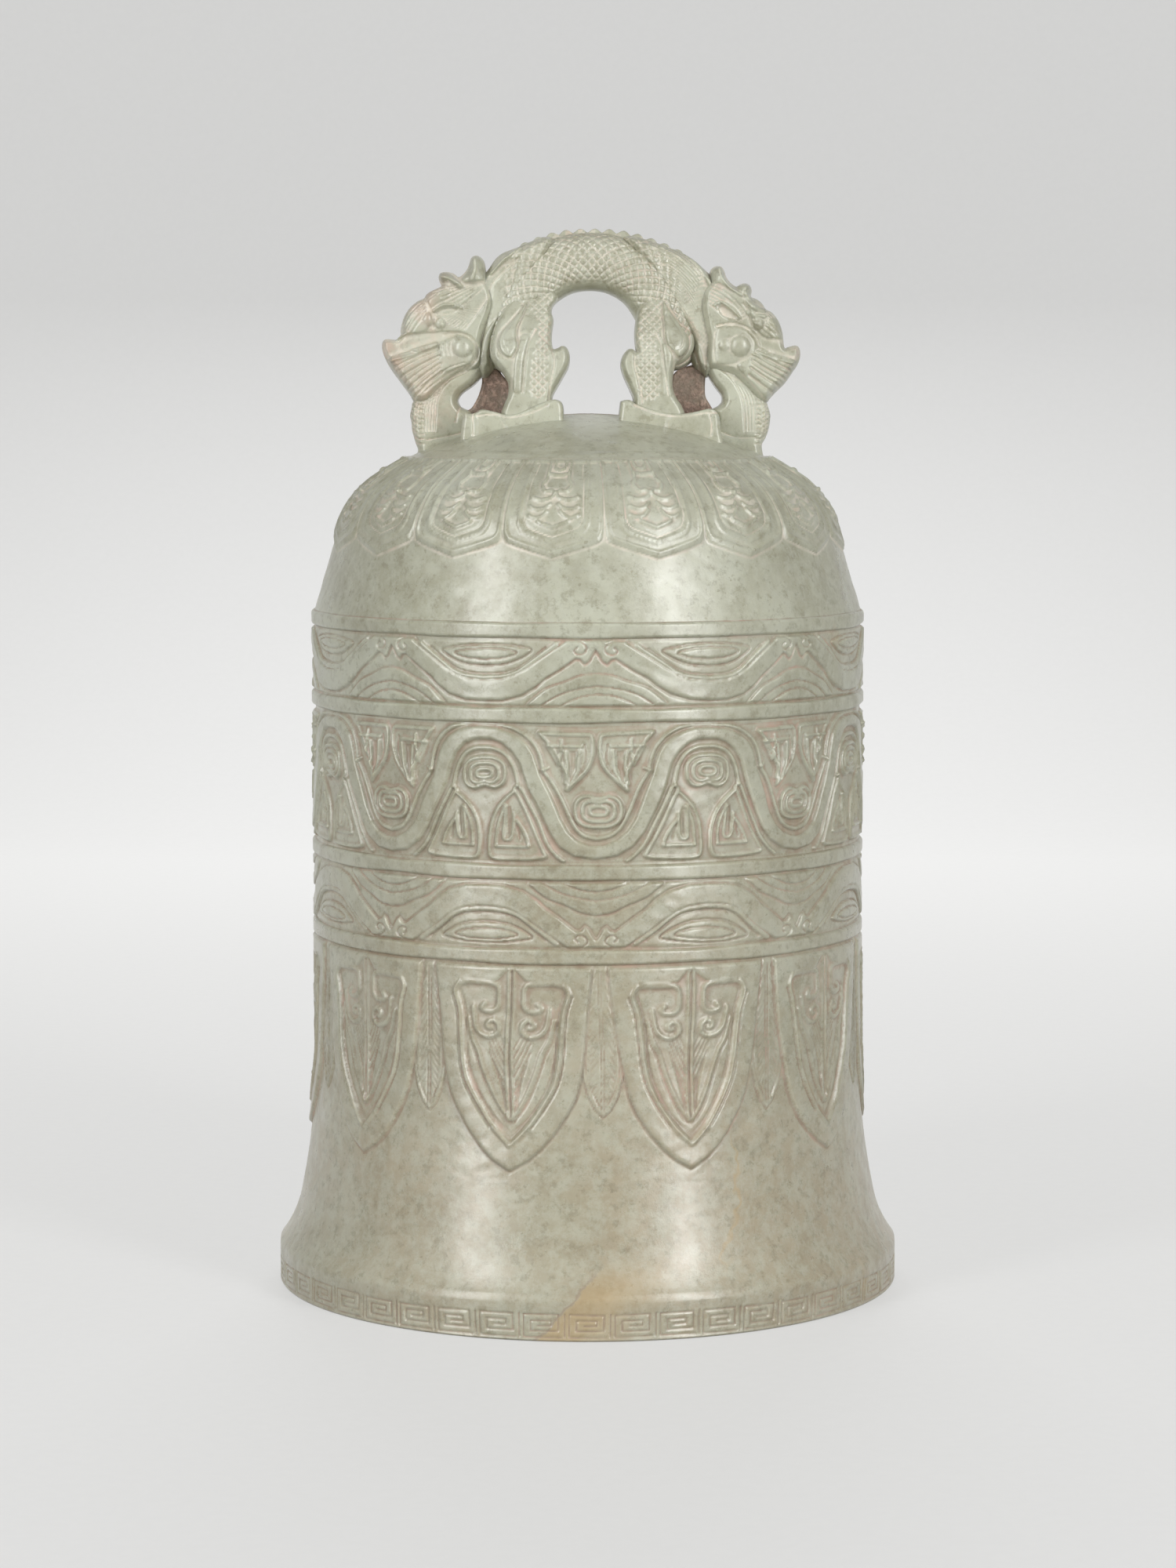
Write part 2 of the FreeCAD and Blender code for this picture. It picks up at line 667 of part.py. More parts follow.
def make_leg():
    """The front right leg with the spur that curls up inside its ankle."""
    spread, thickness, depth = size("leg_spread"), size("leg_thickness"), size("leg_depth")
    shank = limb([
        (handle_place(x, z, -y * spread), thick * thickness / 2, deep * depth / 2)
        for x, z, y, thick, deep in LEG_SHARES
    ])
    thickness = size("spur_thickness")
    spur = limb([
        (handle_place(x, z, -y * spread), thick * thickness / 2, thick * thickness / 2)
        for x, z, y, thick in SPUR_SHARES
    ])
    return shank.fuse(spur)


# The foot's upper outline from heel to toe: shares of its length and of its rise
FOOT_TOP_SHARES = [
    (0.0, 0.50), (0.05, 0.78), (0.16, 0.95), (0.36, 0.36), (0.58, 0.14), (0.80, 0.34),
    (0.95, 0.05), (1.0, -0.20),
]
FOOT_HEEL_SHARE = 0.112


def make_foot():
    """The paw's slab under the front right leg, stepping down to the toes."""
    length, width, rise = size("foot_length"), size("foot_width"), size("foot_rise")
    top, sink = number(APEX), size("foot_sink")
    upper = [Vector(x * length, 0, top + z * rise) for x, z in FOOT_TOP_SHARES]
    heel, toe = Vector(0, 0, top - sink), Vector(length, 0, top - sink)
    side = Part.Face(Part.makePolygon([heel, *upper, toe, heel]))
    slab = side.extrude(DEPTH * width)
    slab.translate(Vector(0, -width / 2, 0))
    slab.rotate(Vector(), UP, -size("foot_turn_angle"))
    slab.translate(handle_place(FOOT_HEEL_SHARE, 0, -size("leg_spread")) - UP * top)
    return slab


# Outlines of the right-hand members seen from the front: x and z shares
HEAD_SHARES = [
    (0.60, 0.785), (0.695, 0.735), (0.79, 0.655), (0.865, 0.565), (0.895, 0.50), (0.905, 0.44),
    (0.915, 0.40), (0.82, 0.365), (0.74, 0.31), (0.66, 0.235), (0.57, 0.24), (0.52, 0.38),
    (0.53, 0.53), (0.54, 0.70),
]
BEARD_SHARES = [
    (0.90, 0.40), (0.985, 0.425), (1.0, 0.34), (0.98, 0.27), (0.94, 0.215), (0.895, 0.155),
    (0.845, 0.075), (0.79, 0.10), (0.73, 0.15), (0.64, 0.215), (0.69, 0.29), (0.80, 0.37),
]
CHEST_SHARES = [
    (0.845, 0.075), (0.865, 0.015), (0.86, -0.06), (0.845, -0.14), (0.83, -0.22), (0.80, -0.31),
    (0.62, -0.31), (0.595, -0.14), (0.60, 0.0), (0.62, 0.07), (0.59, 0.14), (0.54, 0.20),
    (0.58, 0.26), (0.67, 0.24), (0.78, 0.12),
]
MANE_SHARES = [
    (0.24, 0.995), (0.37, 0.925), (0.46, 0.862), (0.55, 0.79), (0.60, 0.73), (0.58, 0.56),
    (0.56, 0.42), (0.58, 0.26), (0.51, 0.19), (0.45, 0.24), (0.40, 0.38), (0.36, 0.56),
    (0.32, 0.72), (0.22, 0.86),
]
# How an outline draws in from the middle of the depth to its outer face
PILLOW_SHARES = [(-1.0, 0.58), (-0.72, 0.88), (0.0, 1.0), (0.72, 0.88), (1.0, 0.58)]


def pillow(shares, depth, smooth):
    """A member carved from the slab: full outline at mid depth, rounded off to front
    and back. A smooth outline is one curve, and any other has straight edges."""
    points = [handle_place(x, z) for x, z in shares]
    middle = Vector()
    for point in points:
        middle += point / len(points)
    rims = []
    for side, keep_share in PILLOW_SHARES:
        shift = DEPTH * (side * depth / 2)
        rim = [middle + (point - middle) * keep_share + shift for point in points]
        if smooth:
            curve = Part.BSplineCurve()
            curve.interpolate(Points=rim, PeriodicFlag=True)
            rims.append(Part.Wire([curve.toShape()]))
        else:
            rims.append(Part.makePolygon([*rim, rim[0]]))
    return Part.makeLoft(rims, True, not smooth)


HORN_SHARES = [(0.53, 0.76), (0.675, 0.665)]
HORN_LEAN_SHARE = 0.12
HORN_TIP_SHARE = 0.45


def make_horns():
    """Two pairs of stub horns, one pair behind the other, rooted in the head."""
    horns = []
    radius, height = size("horn_thickness") / 2, size("horn_height")
    for x_share, z_share in HORN_SHARES:
        for side in (-1, 1):
            foot = handle_place(x_share, z_share, side * size("horn_spacing") / 2)
            lean = Vector(-HORN_LEAN_SHARE, 0, 1).normalize()
            foot = foot - lean * height
            tip_radius = radius * HORN_TIP_SHARE
            horn = Part.makeCone(radius, tip_radius, 2 * height - tip_radius, foot, lean)
            tip = Part.makeSphere(tip_radius, foot + lean * (2 * height - tip_radius))
            horns.append(largest(horn.fuse(tip)))
    return Part.makeCompound(horns)


CREST_SPAN_SHARE = 0.37
CREST_SWELL_SHARE = 0.0
CREST_FADE_SHARE = 0.35


def make_crest(trunk, manes):
    """The row of teeth along the spine, sunk to the trunk's own surface."""
    count = int(size("crest_tooth_count"))
    height, sink = size("crest_tooth_height"), size("crest_sink")
    stations = trunk_stations()
    line = Part.BSplineCurve()
    line.interpolate([place for place, _, _ in stations])
    middle = (line.FirstParameter + line.LastParameter) / 2
    reach = (line.LastParameter - line.FirstParameter) * CREST_SPAN_SHARE / 2
    back, base = [], []
    steps = 2 * count
    for i in range(steps + 1):
        at = middle - reach + 2 * reach * i / steps
        place, along = line.value(at), line.tangent(at)[0]
        out = Vector(-along.z, 0, along.x)
        share = abs(2 * i / steps - 1)
        surface = size("trunk_thickness") / 2 * (1 + CREST_SWELL_SHARE * share)
        fade = 1 - CREST_FADE_SHARE * share
        lift = height * fade if i % 2 else 0
        back.append(place + out * (surface + lift))
        base.append(place + out * (surface - sink))
    outline = Part.makePolygon([*back, *reversed(base), back[0]])
    ridge = Part.Face(Part.Wire(outline)).extrude(DEPTH * size("crest_thickness"))
    ridge.translate(Vector(0, -size("crest_thickness") / 2, 0))
    return ridge.cut(trunk).cut(manes)


def make_handle(wall):
    """Every member of the dragon, each cut back to the members carved before it."""
    trunk = largest(limb(trunk_stations()).cut(wall))
    keep_shape("dragon_trunk", trunk)
    leg = largest(make_leg().cut(trunk).cut(wall))
    foot = largest(make_foot().cut(leg).cut(trunk).cut(wall))
    for name, piece in (("leg", leg), ("foot", foot)):
        back_piece = piece.mirror(Vector(), DEPTH)
        keep_shape(f"front_right_{name}", piece)
        keep_shape(f"front_left_{name}", mirrored(piece))
        keep_shape(f"rear_right_{name}", back_piece)
        keep_shape(f"rear_left_{name}", mirrored(back_piece))
    legs = leg.fuse(leg.mirror(Vector(), DEPTH))
    horns = make_horns()
    mane = pillow(MANE_SHARES, size("mane_depth"), True)
    mane = largest(mane.cut(trunk).cut(legs).cut(horns))
    skull = pillow(HEAD_SHARES, size("head_depth"), True)
    skull = largest(skull.cut(mane).cut(horns))
    beard = pillow(BEARD_SHARES, size("beard_depth"), False)
    beard = largest(beard.cut(skull).cut(mane))
    chest = pillow(CHEST_SHARES, size("chest_depth"), True)
    chest = largest(chest.cut(beard).cut(skull).cut(mane).cut(trunk).cut(wall))
    for name, piece in (
        ("head", skull), ("mane", mane), ("beard", beard), ("chest", chest), ("horns", horns),
    ):
        keep_shape(f"right_{name}", piece)
        keep_shape(f"left_{name}", mirrored(piece))
    keep_shape("back_crest", make_crest(trunk, mane.fuse(mirrored(mane))))


def write_parts():
    """Checks every object and writes each node's solids."""
    doc.recompute()
    for item in doc.Objects:
        if "Invalid" in item.State or "Error" in item.State:
            raise RuntimeError(f"{item.Label} did not compute: {item.State}")
    os.makedirs("parts", exist_ok=True)
    for name, item in nodes.items():
        shape = item.Shape
        if shape.isNull() or not shape.isValid() or not shape.Solids:
            raise RuntimeError(f"{name} has no valid solid")
        shape.exportStep(os.path.join("parts", name + ".step"))
    print(f"{len(nodes)} nodes, {sum(len(i.Shape.Solids) for i in nodes.values())} solids")


wall_body = make_bell_wall()
for order, name in enumerate(("neck_fillet", "upper_fillet", "lower_fillet", "skirt_fillet")):
    make_fillet(name, order)
make_lappets()
make_eye_band("upper", False)
make_wave_band()
make_eye_band("lower", True)
make_hanging_blades()
make_handle(wall_body.Shape)
write_parts()
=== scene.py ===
"""A carved nephrite bell with a two-headed dragon for its handle, in a pale studio.

The stone is laid out the way a carver does it. Each band is one repeat of a figure,
given as outlines and cut lines in degrees round the bell and millimetres up it, and
the repeat is worked round the outer face. The dragon is worked from the front and
the back of one slab, so its figures are given as they are seen from the front.
"""

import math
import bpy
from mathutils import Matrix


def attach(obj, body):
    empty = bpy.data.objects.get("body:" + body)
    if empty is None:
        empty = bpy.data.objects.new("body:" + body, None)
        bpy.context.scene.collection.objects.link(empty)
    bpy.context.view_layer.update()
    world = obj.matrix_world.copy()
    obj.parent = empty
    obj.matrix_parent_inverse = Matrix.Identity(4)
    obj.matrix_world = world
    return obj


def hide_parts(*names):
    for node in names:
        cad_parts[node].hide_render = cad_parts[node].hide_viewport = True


bl_info = {
    "name": "Carved nephrite bell",
    "version": (1, 0, 0),
    "blender": (4, 5, 0),
    "location": "View3D > Sidebar > Jade Bell",
    "description": "Carves the bell, its bands of relief and its dragon, and lights them",
    "category": "Add Mesh",
}

import bpy
import numpy as np
import openvdb
from bpy.props import FloatProperty, FloatVectorProperty, PointerProperty
from bpy.types import Operator, Panel, PropertyGroup

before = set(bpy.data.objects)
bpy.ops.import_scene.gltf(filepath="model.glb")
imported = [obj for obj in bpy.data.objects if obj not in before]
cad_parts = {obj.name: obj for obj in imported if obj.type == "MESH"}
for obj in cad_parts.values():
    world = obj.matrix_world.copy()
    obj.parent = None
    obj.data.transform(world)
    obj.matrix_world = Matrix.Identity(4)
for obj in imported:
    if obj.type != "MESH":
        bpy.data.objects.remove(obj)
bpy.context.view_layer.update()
MM = 0.001


def length(name, default_mm, description):
    return FloatProperty(
        name=name, default=default_mm * MM, unit="LENGTH", subtype="DISTANCE",
        description=description,
    )


def turn(name, default_degrees, description):
    return FloatProperty(
        name=name, default=math.radians(default_degrees), unit="ROTATION", subtype="ANGLE",
        description=description,
    )


def colour(name, default, description):
    return FloatVectorProperty(
        name=name, default=default, size=3, min=0.0, max=1.0, subtype="COLOR",
        description=description,
    )


class BellSizes(PropertyGroup):
    barrel_radius: length("Barrel radius", 66.5, "Ground of the carved bands")
    rim_flare: length("Rim flare", 9.5, "How far the rim stands out past the barrel")
    wall: length("Wall", 7.0, "Thickness of the stone")
    lip_joint_height: length("Lip joint height", 21.1, "Where the lip meets the wide flare")
    lip_round: length("Lip round", 28.0, "Radius of the lip in section")
    flare_height: length("Flare height", 40.9, "Height of the wide flare above the lip")
    flare_round: length("Flare round", 197.0, "Radius of the wide flare in section")
    barrel_height: length("Barrel height", 103.0, "Upright part of the wall")
    shoulder_inset: length("Shoulder inset", 26.8, "Centre of the shoulder's round, inwards")
    shoulder_rise: length("Shoulder rise", 13.3, "Centre of the shoulder's round, upwards")
    shoulder_round: length("Shoulder round", 21.9, "Radius of the shoulder in section")
    crown_rise: length("Crown rise", 33.9, "Top of the crown above the shoulder's centre")
    relief: length("Relief", 0.93, "How far the bands stand above their ground")
    lappet_relief: length("Lappet relief", 0.78, "How far the shoulder petals stand out")
    pattern_turn: turn("Pattern turn", 1.9, "Turn of the middle valley from the front")
    blade_turn: turn("Blade turn", 2.8, "Turn of the middle leaf from the front")
    lappet_turn: turn("Lappet turn", 3.75, "Turn of the middle notch from the front")
    dragon_pitch: length("Dragon pitch", 0.26, "Spacing of the points under the dragon")


class BellColours(PropertyGroup):
    stone: colour("Stone", (0.385, 0.385, 0.285), "Pale celadon body of the stone")
    pale_cloud: colour("Pale cloud", (0.52, 0.535, 0.43), "Lighter clouds in the stone")
    olive_cloud: colour("Olive cloud", (0.215, 0.195, 0.12), "Darker olive clouds")
    honey: colour("Honey", (0.47, 0.34, 0.17), "Honey wedge and veins near the rim")
    warm: colour("Warm stone", (0.395, 0.325, 0.215), "Warmer stone towards the rim")
    residue: colour("Residue", (0.74, 0.68, 0.57), "Pale residue in the upper cuts")
    # Brown residue for the cuts and grounds below the shoulder, made darker so that it also paints shade into them.
    dirt_and_shade: colour("Dirt", (0.32, 0.235, 0.165), "Browner residue in the bands' cuts")
    blush: colour("Blush", (0.58, 0.40, 0.32), "Pinker residue in places")
    recess: colour("Recess", (0.27, 0.19, 0.145), "Rough brown walls of the recesses")
    floor: colour("Floor", (0.62, 0.62, 0.61), "Studio floor and backdrop")


def mm(name):
    """A size of the bell in millimetres."""
    return getattr(bpy.context.scene.jade_bell_sizes, name) / MM


def angle(name):
    """A turn of the bell's pattern in radians."""
    return getattr(bpy.context.scene.jade_bell_sizes, name)


def paint(name):
    """A colour of the bell, with nothing showing through."""
    return tuple(getattr(bpy.context.scene.jade_bell_colours, name)) + (1.0,)


# Plane figures

def curved(points, steps=5, closed=False):
    """A smooth line through listed points."""
    p = np.asarray(points, dtype=float)
    if closed:
        before, start, after, far = np.roll(p, 1, 0), p, np.roll(p, -1, 0), np.roll(p, -2, 0)
    else:
        ends = np.vstack([p[:1], p, p[-1:]])
        before, start, after, far = ends[:-3], ends[1:-2], ends[2:-1], ends[3:]
    out = []
    for step in range(steps):
        t = step / steps
        out.append(0.5 * (
            2 * start + (after - before) * t
            + (2 * before - 5 * start + 4 * after - far) * t**2
            + (3 * start - before - 3 * after + far) * t**3
        ))
    line = np.stack(out, axis=1).reshape(-1, 2)
    return line if closed else np.vstack([line, p[-1:]])


def in_reach(u, v, line, reach):
    low, high = line.min(axis=0) - reach, line.max(axis=0) + reach
    return (u > low[0]) & (u < high[0]) & (v > low[1]) & (v < high[1])


def line_distance(u, v, line, reach):
    """Distance of every place to a line, no more than the reach."""
    out = np.full(u.shape, float(reach))
    box = in_reach(u, v, line, reach)
    if not box.any():
        return out
    x, y = u[box], v[box]
    best = np.full(x.shape, float(reach) ** 2)
    for (ax, ay), (bx, by) in zip(line[:-1], line[1:]):
        dx, dy = bx - ax, by - ay
        size = dx * dx + dy * dy
        if size < 1e-12:
            continue
        t = np.clip(((x - ax) * dx + (y - ay) * dy) / size, 0, 1)
        np.minimum(best, (x - ax - t * dx) ** 2 + (y - ay - t * dy) ** 2, out=best)
    out[box] = np.sqrt(best)
    return out


def depth_inside(u, v, loop, reach=4.0):
    """How far inside a closed outline a place lies. Outside it is negative."""
    closed = np.vstack([loop, loop[:1]])
    distance = line_distance(u, v, closed, reach)
    inside = np.zeros(u.shape, dtype=bool)
    box = in_reach(u, v, closed, 0)
    x, y = u[box], v[box]
    held = np.zeros(x.shape, dtype=bool)
    for (ax, ay), (bx, by) in zip(closed[:-1], closed[1:]):
        if ay != by:
            held ^= ((ay > y) != (by > y)) & (x < (bx - ax) * (y - ay) / (by - ay) + ax)
    inside[box] = held
    return np.where(inside, distance, -distance)


def smoothstep(low, high, x):
    share = np.clip((x - low) / (high - low), 0.0, 1.0)
    return share * share * (3 - 2 * share)


def dome(share):
    """A quarter round from 0 to 1."""
    share = np.clip(share, 0.0, 1.0)
    return np.sqrt(share * (2 - share))


def blurred(field, reach, wrap=False):
    """Box blur, twice, that closes round the bell along the second axis."""
    out = field
    for _ in range(2):
        for axis in (0, 1):
            pad = [(0, 0), (0, 0)]
            pad[axis] = (reach + 1, reach)
            mode = "wrap" if wrap and axis == 1 else "edge"
            summed = np.cumsum(np.pad(out, pad, mode=mode), axis=axis)
            span = 2 * reach + 1
            lead = np.take(summed, np.arange(span, summed.shape[axis]), axis=axis)
            trail = np.take(summed, np.arange(summed.shape[axis] - span), axis=axis)
            out = (lead - trail) / span
    return out


# How many waves make up a wander
SWELLS = 12


def waver(theta, height, amount, coarse, seed):
    """A slow wander of a hand-worked surface that closes round the bell."""
    rng = np.random.default_rng(seed)
    total = 0
    most = max(2, int(2 * math.pi * mm("barrel_radius") / coarse))
    for _ in range(SWELLS):
        turns = rng.integers(-most, most + 1)
        rise = rng.normal() * 2 * math.pi / coarse
        total = total + np.cos(turns * theta + rise * height + rng.uniform(0, 2 * math.pi))
    return total * amount / math.sqrt(SWELLS / 2)


# Pieces

def add_piece(name, points_mm, faces, nodes=(), hollow=None, raw=None):
    """Makes a mesh piece of the stone, in place of the nodes that it stands for."""
    mesh = bpy.data.meshes.new(name)
    points = np.asarray(points_mm, dtype=np.float64) * MM
    starts, loops = [], []
    total = 0
    for group in faces if isinstance(faces, (list, tuple)) else [faces]:
        group = np.asarray(group, dtype=np.int32)
        if len(group):
            corners = group.shape[1]
            starts.append(total + np.arange(0, group.size, corners))
            loops.append(group.ravel())
            total += group.size
    mesh.vertices.add(len(points))
    mesh.vertices.foreach_set("co", points.ravel())
    mesh.loops.add(total)
    mesh.loops.foreach_set("vertex_index", np.concatenate(loops))
    starts = np.concatenate(starts).astype(np.int32)
    mesh.polygons.add(len(starts))
    mesh.polygons.foreach_set("loop_start", starts)
    mesh.update(calc_edges=True)
    mesh.polygons.foreach_set("use_smooth", np.ones(len(starts), dtype=bool))
    for label, values in (("hollow", hollow), ("raw", raw)):
        attribute = mesh.attributes.new(label, "FLOAT", "POINT")
        if values is not None:
            attribute.data.foreach_set("value", np.asarray(values, dtype=np.float32).ravel())
    piece = bpy.data.objects.new(name, mesh)
    bpy.context.scene.collection.objects.link(piece)
    mesh.materials.append(nephrite())
    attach(piece, "root")
    if nodes:
        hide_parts(*nodes)


def laid_round(r, z, theta):
    """Places in rows round the bell, and the quads between them."""
    x, y = r * np.sin(theta), -r * np.cos(theta)
    points = np.stack([x, y, np.broadcast_to(z, x.shape)], axis=-1).reshape(-1, 3)
    i = np.arange(x.size).reshape(x.shape)
    right = np.roll(i, -1, axis=1)
    return points, np.stack([i[:-1], right[:-1], right[1:], i[1:]], axis=-1).reshape(-1, 4)


# The bell's outer face

class Outline:
    """The bell's outer face in section, measured along the stone from the rim up."""

    STEP = 0.2

    def __init__(self):
        barrel = mm("barrel_radius")
        self.rim = rim = barrel + mm("rim_flare")
        flare, lip = mm("flare_round"), mm("lip_round")
        flare_top = mm("lip_joint_height") + mm("flare_height")
        sine = mm("flare_height") / flare
        cosine = math.sqrt(1 - sine * sine)
        lip_r = barrel + flare - (flare - lip) * cosine
        lip_z = mm("lip_joint_height") + lip * sine
        foot_z = lip_z - math.sqrt(lip**2 - (lip_r - rim) ** 2)
        self.foot = shoulder_foot = flare_top + mm("barrel_height")
        centre_r = barrel - mm("shoulder_inset")
        centre_z = shoulder_foot + mm("shoulder_rise")
        around, rise = mm("shoulder_round"), mm("crown_rise")
        self.crown = crown = (centre_r**2 + rise**2 - around**2) / (2 * (rise - around))
        self.apex = apex = centre_z + rise
        inset, lift = mm("shoulder_inset"), mm("shoulder_rise")
        square = inset**2 + lift**2
        tangent = math.sqrt(square - around**2)
        side_r = (around * inset + tangent * lift) / square
        side_z = (tangent * inset - around * lift) / square
        join = math.acos(centre_r / (crown - around))
        joint = math.pi + math.asin(sine)
        end = (centre_r + around * side_r, centre_z + around * side_z)
        start = math.atan2(foot_z - lip_z, rim - lip_r) % (2 * math.pi)
        table = np.vstack([
            self.straight((rim, 0), (rim, foot_z)),
            self.arc((lip_r, lip_z), lip, start, joint, -1),
            self.arc((barrel + flare, flare_top), flare, joint, math.pi, -1),
            self.straight((barrel, flare_top), (barrel, shoulder_foot)),
            self.straight((barrel, shoulder_foot), end),
            self.arc((centre_r, centre_z), around, math.atan2(side_z, side_r), join, 1),
            self.arc((0, apex - crown), crown, join, math.pi / 2, 1),
        ])
        keep = np.r_[True, np.hypot(*np.diff(table[:, :2], axis=0).T) > 1e-9]
        self.r, self.z, self.nr, self.nz = table[keep].T
        self.s = np.r_[0, np.cumsum(np.hypot(np.diff(self.r), np.diff(self.z)))]

    def straight(self, start, stop):
        start, stop = np.asarray(start, dtype=float), np.asarray(stop, dtype=float)
        far = np.hypot(*(stop - start))
        t = np.linspace(0, 1, max(2, int(far / self.STEP)))[:, None]
        along = (stop - start) / far
        normal = np.tile([along[1], -along[0]], (len(t), 1))
        return np.hstack([start * (1 - t) + stop * t, normal])

    def arc(self, centre, radius, start, stop, outward):
        """An arc whose outer face is away from its centre, or towards it at -1."""
        a = np.linspace(start, stop, max(2, int(abs(stop - start) * radius / self.STEP)))
        cos, sin = np.cos(a), np.sin(a)
        return np.stack([
            centre[0] + radius * cos, centre[1] + radius * sin, outward * cos, outward * sin,
        ], axis=1)

    def along(self, height):
        return float(np.interp(height, self.z, self.s))

    def at(self, s):
        return tuple(np.interp(s, self.s, k) for k in (self.r, self.z, self.nr, self.nz))

    def crown_height(self, x, y):
        """Height of the crown over a place, for what stands on it."""
        inner = np.clip(self.crown**2 - x * x - y * y, 0, None)
        return self.apex - self.crown + np.sqrt(inner)


class Ground:
    """A strip of the outer face while it is being carved.

    A figure's places are degrees round from the middle of its repeat and heights
    above the rim. The strip holds them in millimetres, so cuts keep their width.
    """

    CUT, BEAD = 1.8, 1.6

    def __init__(self, outline, low, high, columns, pitch, seed):
        s0, s1 = outline.along(low), outline.along(high)
        rows = max(3, int(round((s1 - s0) / pitch)) + 1)
        self.s = np.linspace(s0, s1, rows)
        self.theta = np.linspace(0, 2 * math.pi, columns, endpoint=False)[None, :]
        r, z, nr, nz = outline.at(self.s)
        self.r, self.z, self.nr, self.nz = (k[:, None] for k in (r, z, nr, nz))
        self.degree = math.radians(mm("barrel_radius"))
        self.h = np.zeros((rows, columns))
        self.seed = seed
        self.stain = np.zeros((rows, columns))

    def repeat(self, count, first, wander=0.22, fold=True, flip=None):
        """Takes places from the nearest of so many repeats. Folded ones are mirrored."""
        pitch = 2 * math.pi / count
        shift = waver(self.theta, self.z, wander, 45.0, self.seed) / mm("barrel_radius")
        across = (self.theta + shift - first + pitch / 2) % pitch - pitch / 2
        self.u = np.degrees(np.abs(across) if fold else across) * self.degree
        self.v = self.z + waver(self.theta, self.z, wander * 0.8, 32.0, self.seed + 7)
        if flip is not None:
            own_low, own_high, low, high = flip
            self.v = high - (self.v - own_low) * (high - low) / (own_high - own_low)
        return self

    def laid(self, points):
        p = np.asarray(points, dtype=float).copy()
        p[:, 0] *= self.degree
        return p

    def raise_to(self, loop, level, edge=0.5, bulge=0.0, bulge_width=2.0, smooth=True):
        """Brings the inside of an outline to a level, with its edge rounded over."""
        loop = self.laid(loop)
        inside = depth_inside(self.u, self.v, curved(loop, 4, True) if smooth else loop)
        target = level + bulge * dome(inside / bulge_width)
        self.h += (target - self.h) * smoothstep(-edge * 0.4, edge * 0.6, inside)
        return self

    def cut(self, line, width=0.5, depth=0.3, smooth=True):
        """A wheel-cut groove."""
        line = self.laid(line)
        d = line_distance(self.u, self.v, curved(line) if smooth else line, width + 0.3)
        self.h -= self.CUT * depth * (1 - smoothstep(0.1 * width, 0.65 * width, d))
        return self

    def bead(self, line, width=0.9, height=0.35, smooth=True):
        """A raised line with rounded sides."""
        line = self.laid(line)
        d = line_distance(self.u, self.v, curved(line) if smooth else line, width + 0.3)
        self.h += self.BEAD * height * np.sqrt(np.clip(1 - (d / (0.55 * width)) ** 2, 0, 1))
        return self

    def polish(self, amount=0.035):
        """Softens the cuts and leaves the faint waves of hand polishing."""
        h = 0.2 * blurred(self.h, 1, True) + 0.8 * self.h
        h = h + waver(self.theta, self.z, amount, 11.0, self.seed + 13)
        h = h + waver(self.theta, self.z, amount * 0.6, 5.0, self.seed + 29)
        rows = np.arange(len(h))
        fade = smoothstep(0, 3, np.minimum(rows, rows[::-1]))[:, None]
        self.h = h * fade
        return self

    def finish_band(self, relief):
        """Stains a band's ground, partly with painted shade, and brings its two edges down to the rings' foot."""
        self.tint_low(relief, 0.26)
        rows = np.arange(len(self.h))
        edge = smoothstep(0, 2.5, np.minimum(rows, rows[::-1]))[:, None]
        self.h *= edge
        return self.polish()

    def tint_low(self, level, share):
        """Leaves a stain on all that lies lower than a level. Below the shoulder its colour is partly painted
        shade.
        """
        low = 1 - smoothstep(0.25 * level, 0.85 * level, blurred(self.h, 1, True))
        self.stain = np.maximum(self.stain, share * low)
        return self

    # Stains the inside of an outline; below the shoulder its colour is partly painted shade.
    def tint_inside(self, loop, share):
        loop = self.laid(loop)
        inside = smoothstep(-0.4, 0.4, depth_inside(self.u, self.v, loop))
        self.stain = np.maximum(self.stain, share * inside)
        return self

    def hollow(self):
        """How far each place lies under its surroundings, stains added, for what stays in cuts: residue, and below
        the shoulder painted shade as well.
        """
        near = blurred(self.h, 2, True) - self.h
        wide = blurred(self.h, 8, True) - self.h
        cuts = np.clip((near - 0.025) * 6, 0, 1) * 0.85 + np.clip(wide * 0.9, 0, 1) * 0.2
        return np.clip(cuts + self.stain, 0, 1)

    def piece(self, name, *nodes):
        r, z = self.r + self.nr * self.h, self.z + self.nz * self.h
        add_piece(name, *laid_round(r, z, self.theta), nodes, self.hollow())


# Heights of the bands' borders above the rim
FRET_TOP = 7.6
BLADES_FOOT, BLADES_TOP = 35.0, 86.0
FILLETS = {"skirt": (86.0, 89.8), "lower": (105.5, 109.3), "upper": (141.7, 145.5),
           "neck": (161.2, 165.0)}
LOWER_EYES, WAVES, UPPER_EYES = (89.8, 105.5), (109.3, 141.7), (145.5, 161.2)
LAPPETS = (177.0, 203.6)

# How often each figure repeats round the bell, and how many points go round
FRET_UNITS, BLADES, BAYS, PETALS = 45, 10, 8, 16
FRET_COLUMNS, BLADE_COLUMNS, BAND_COLUMNS, PETAL_COLUMNS = 1800, 1200, 1600, 1152
PLAIN_COLUMNS, INSIDE_COLUMNS = 720, 480

# The key fret, in shares of a unit's width and millimetres above the rim
FRET = [(0.42, 1.1), (-0.40, 1.1), (-0.40, 6.3), (0.36, 6.3), (0.36, 2.5), (-0.24, 2.5),
        (-0.24, 4.9), (0.2, 4.9), (0.2, 3.7), (-0.08, 3.7)]


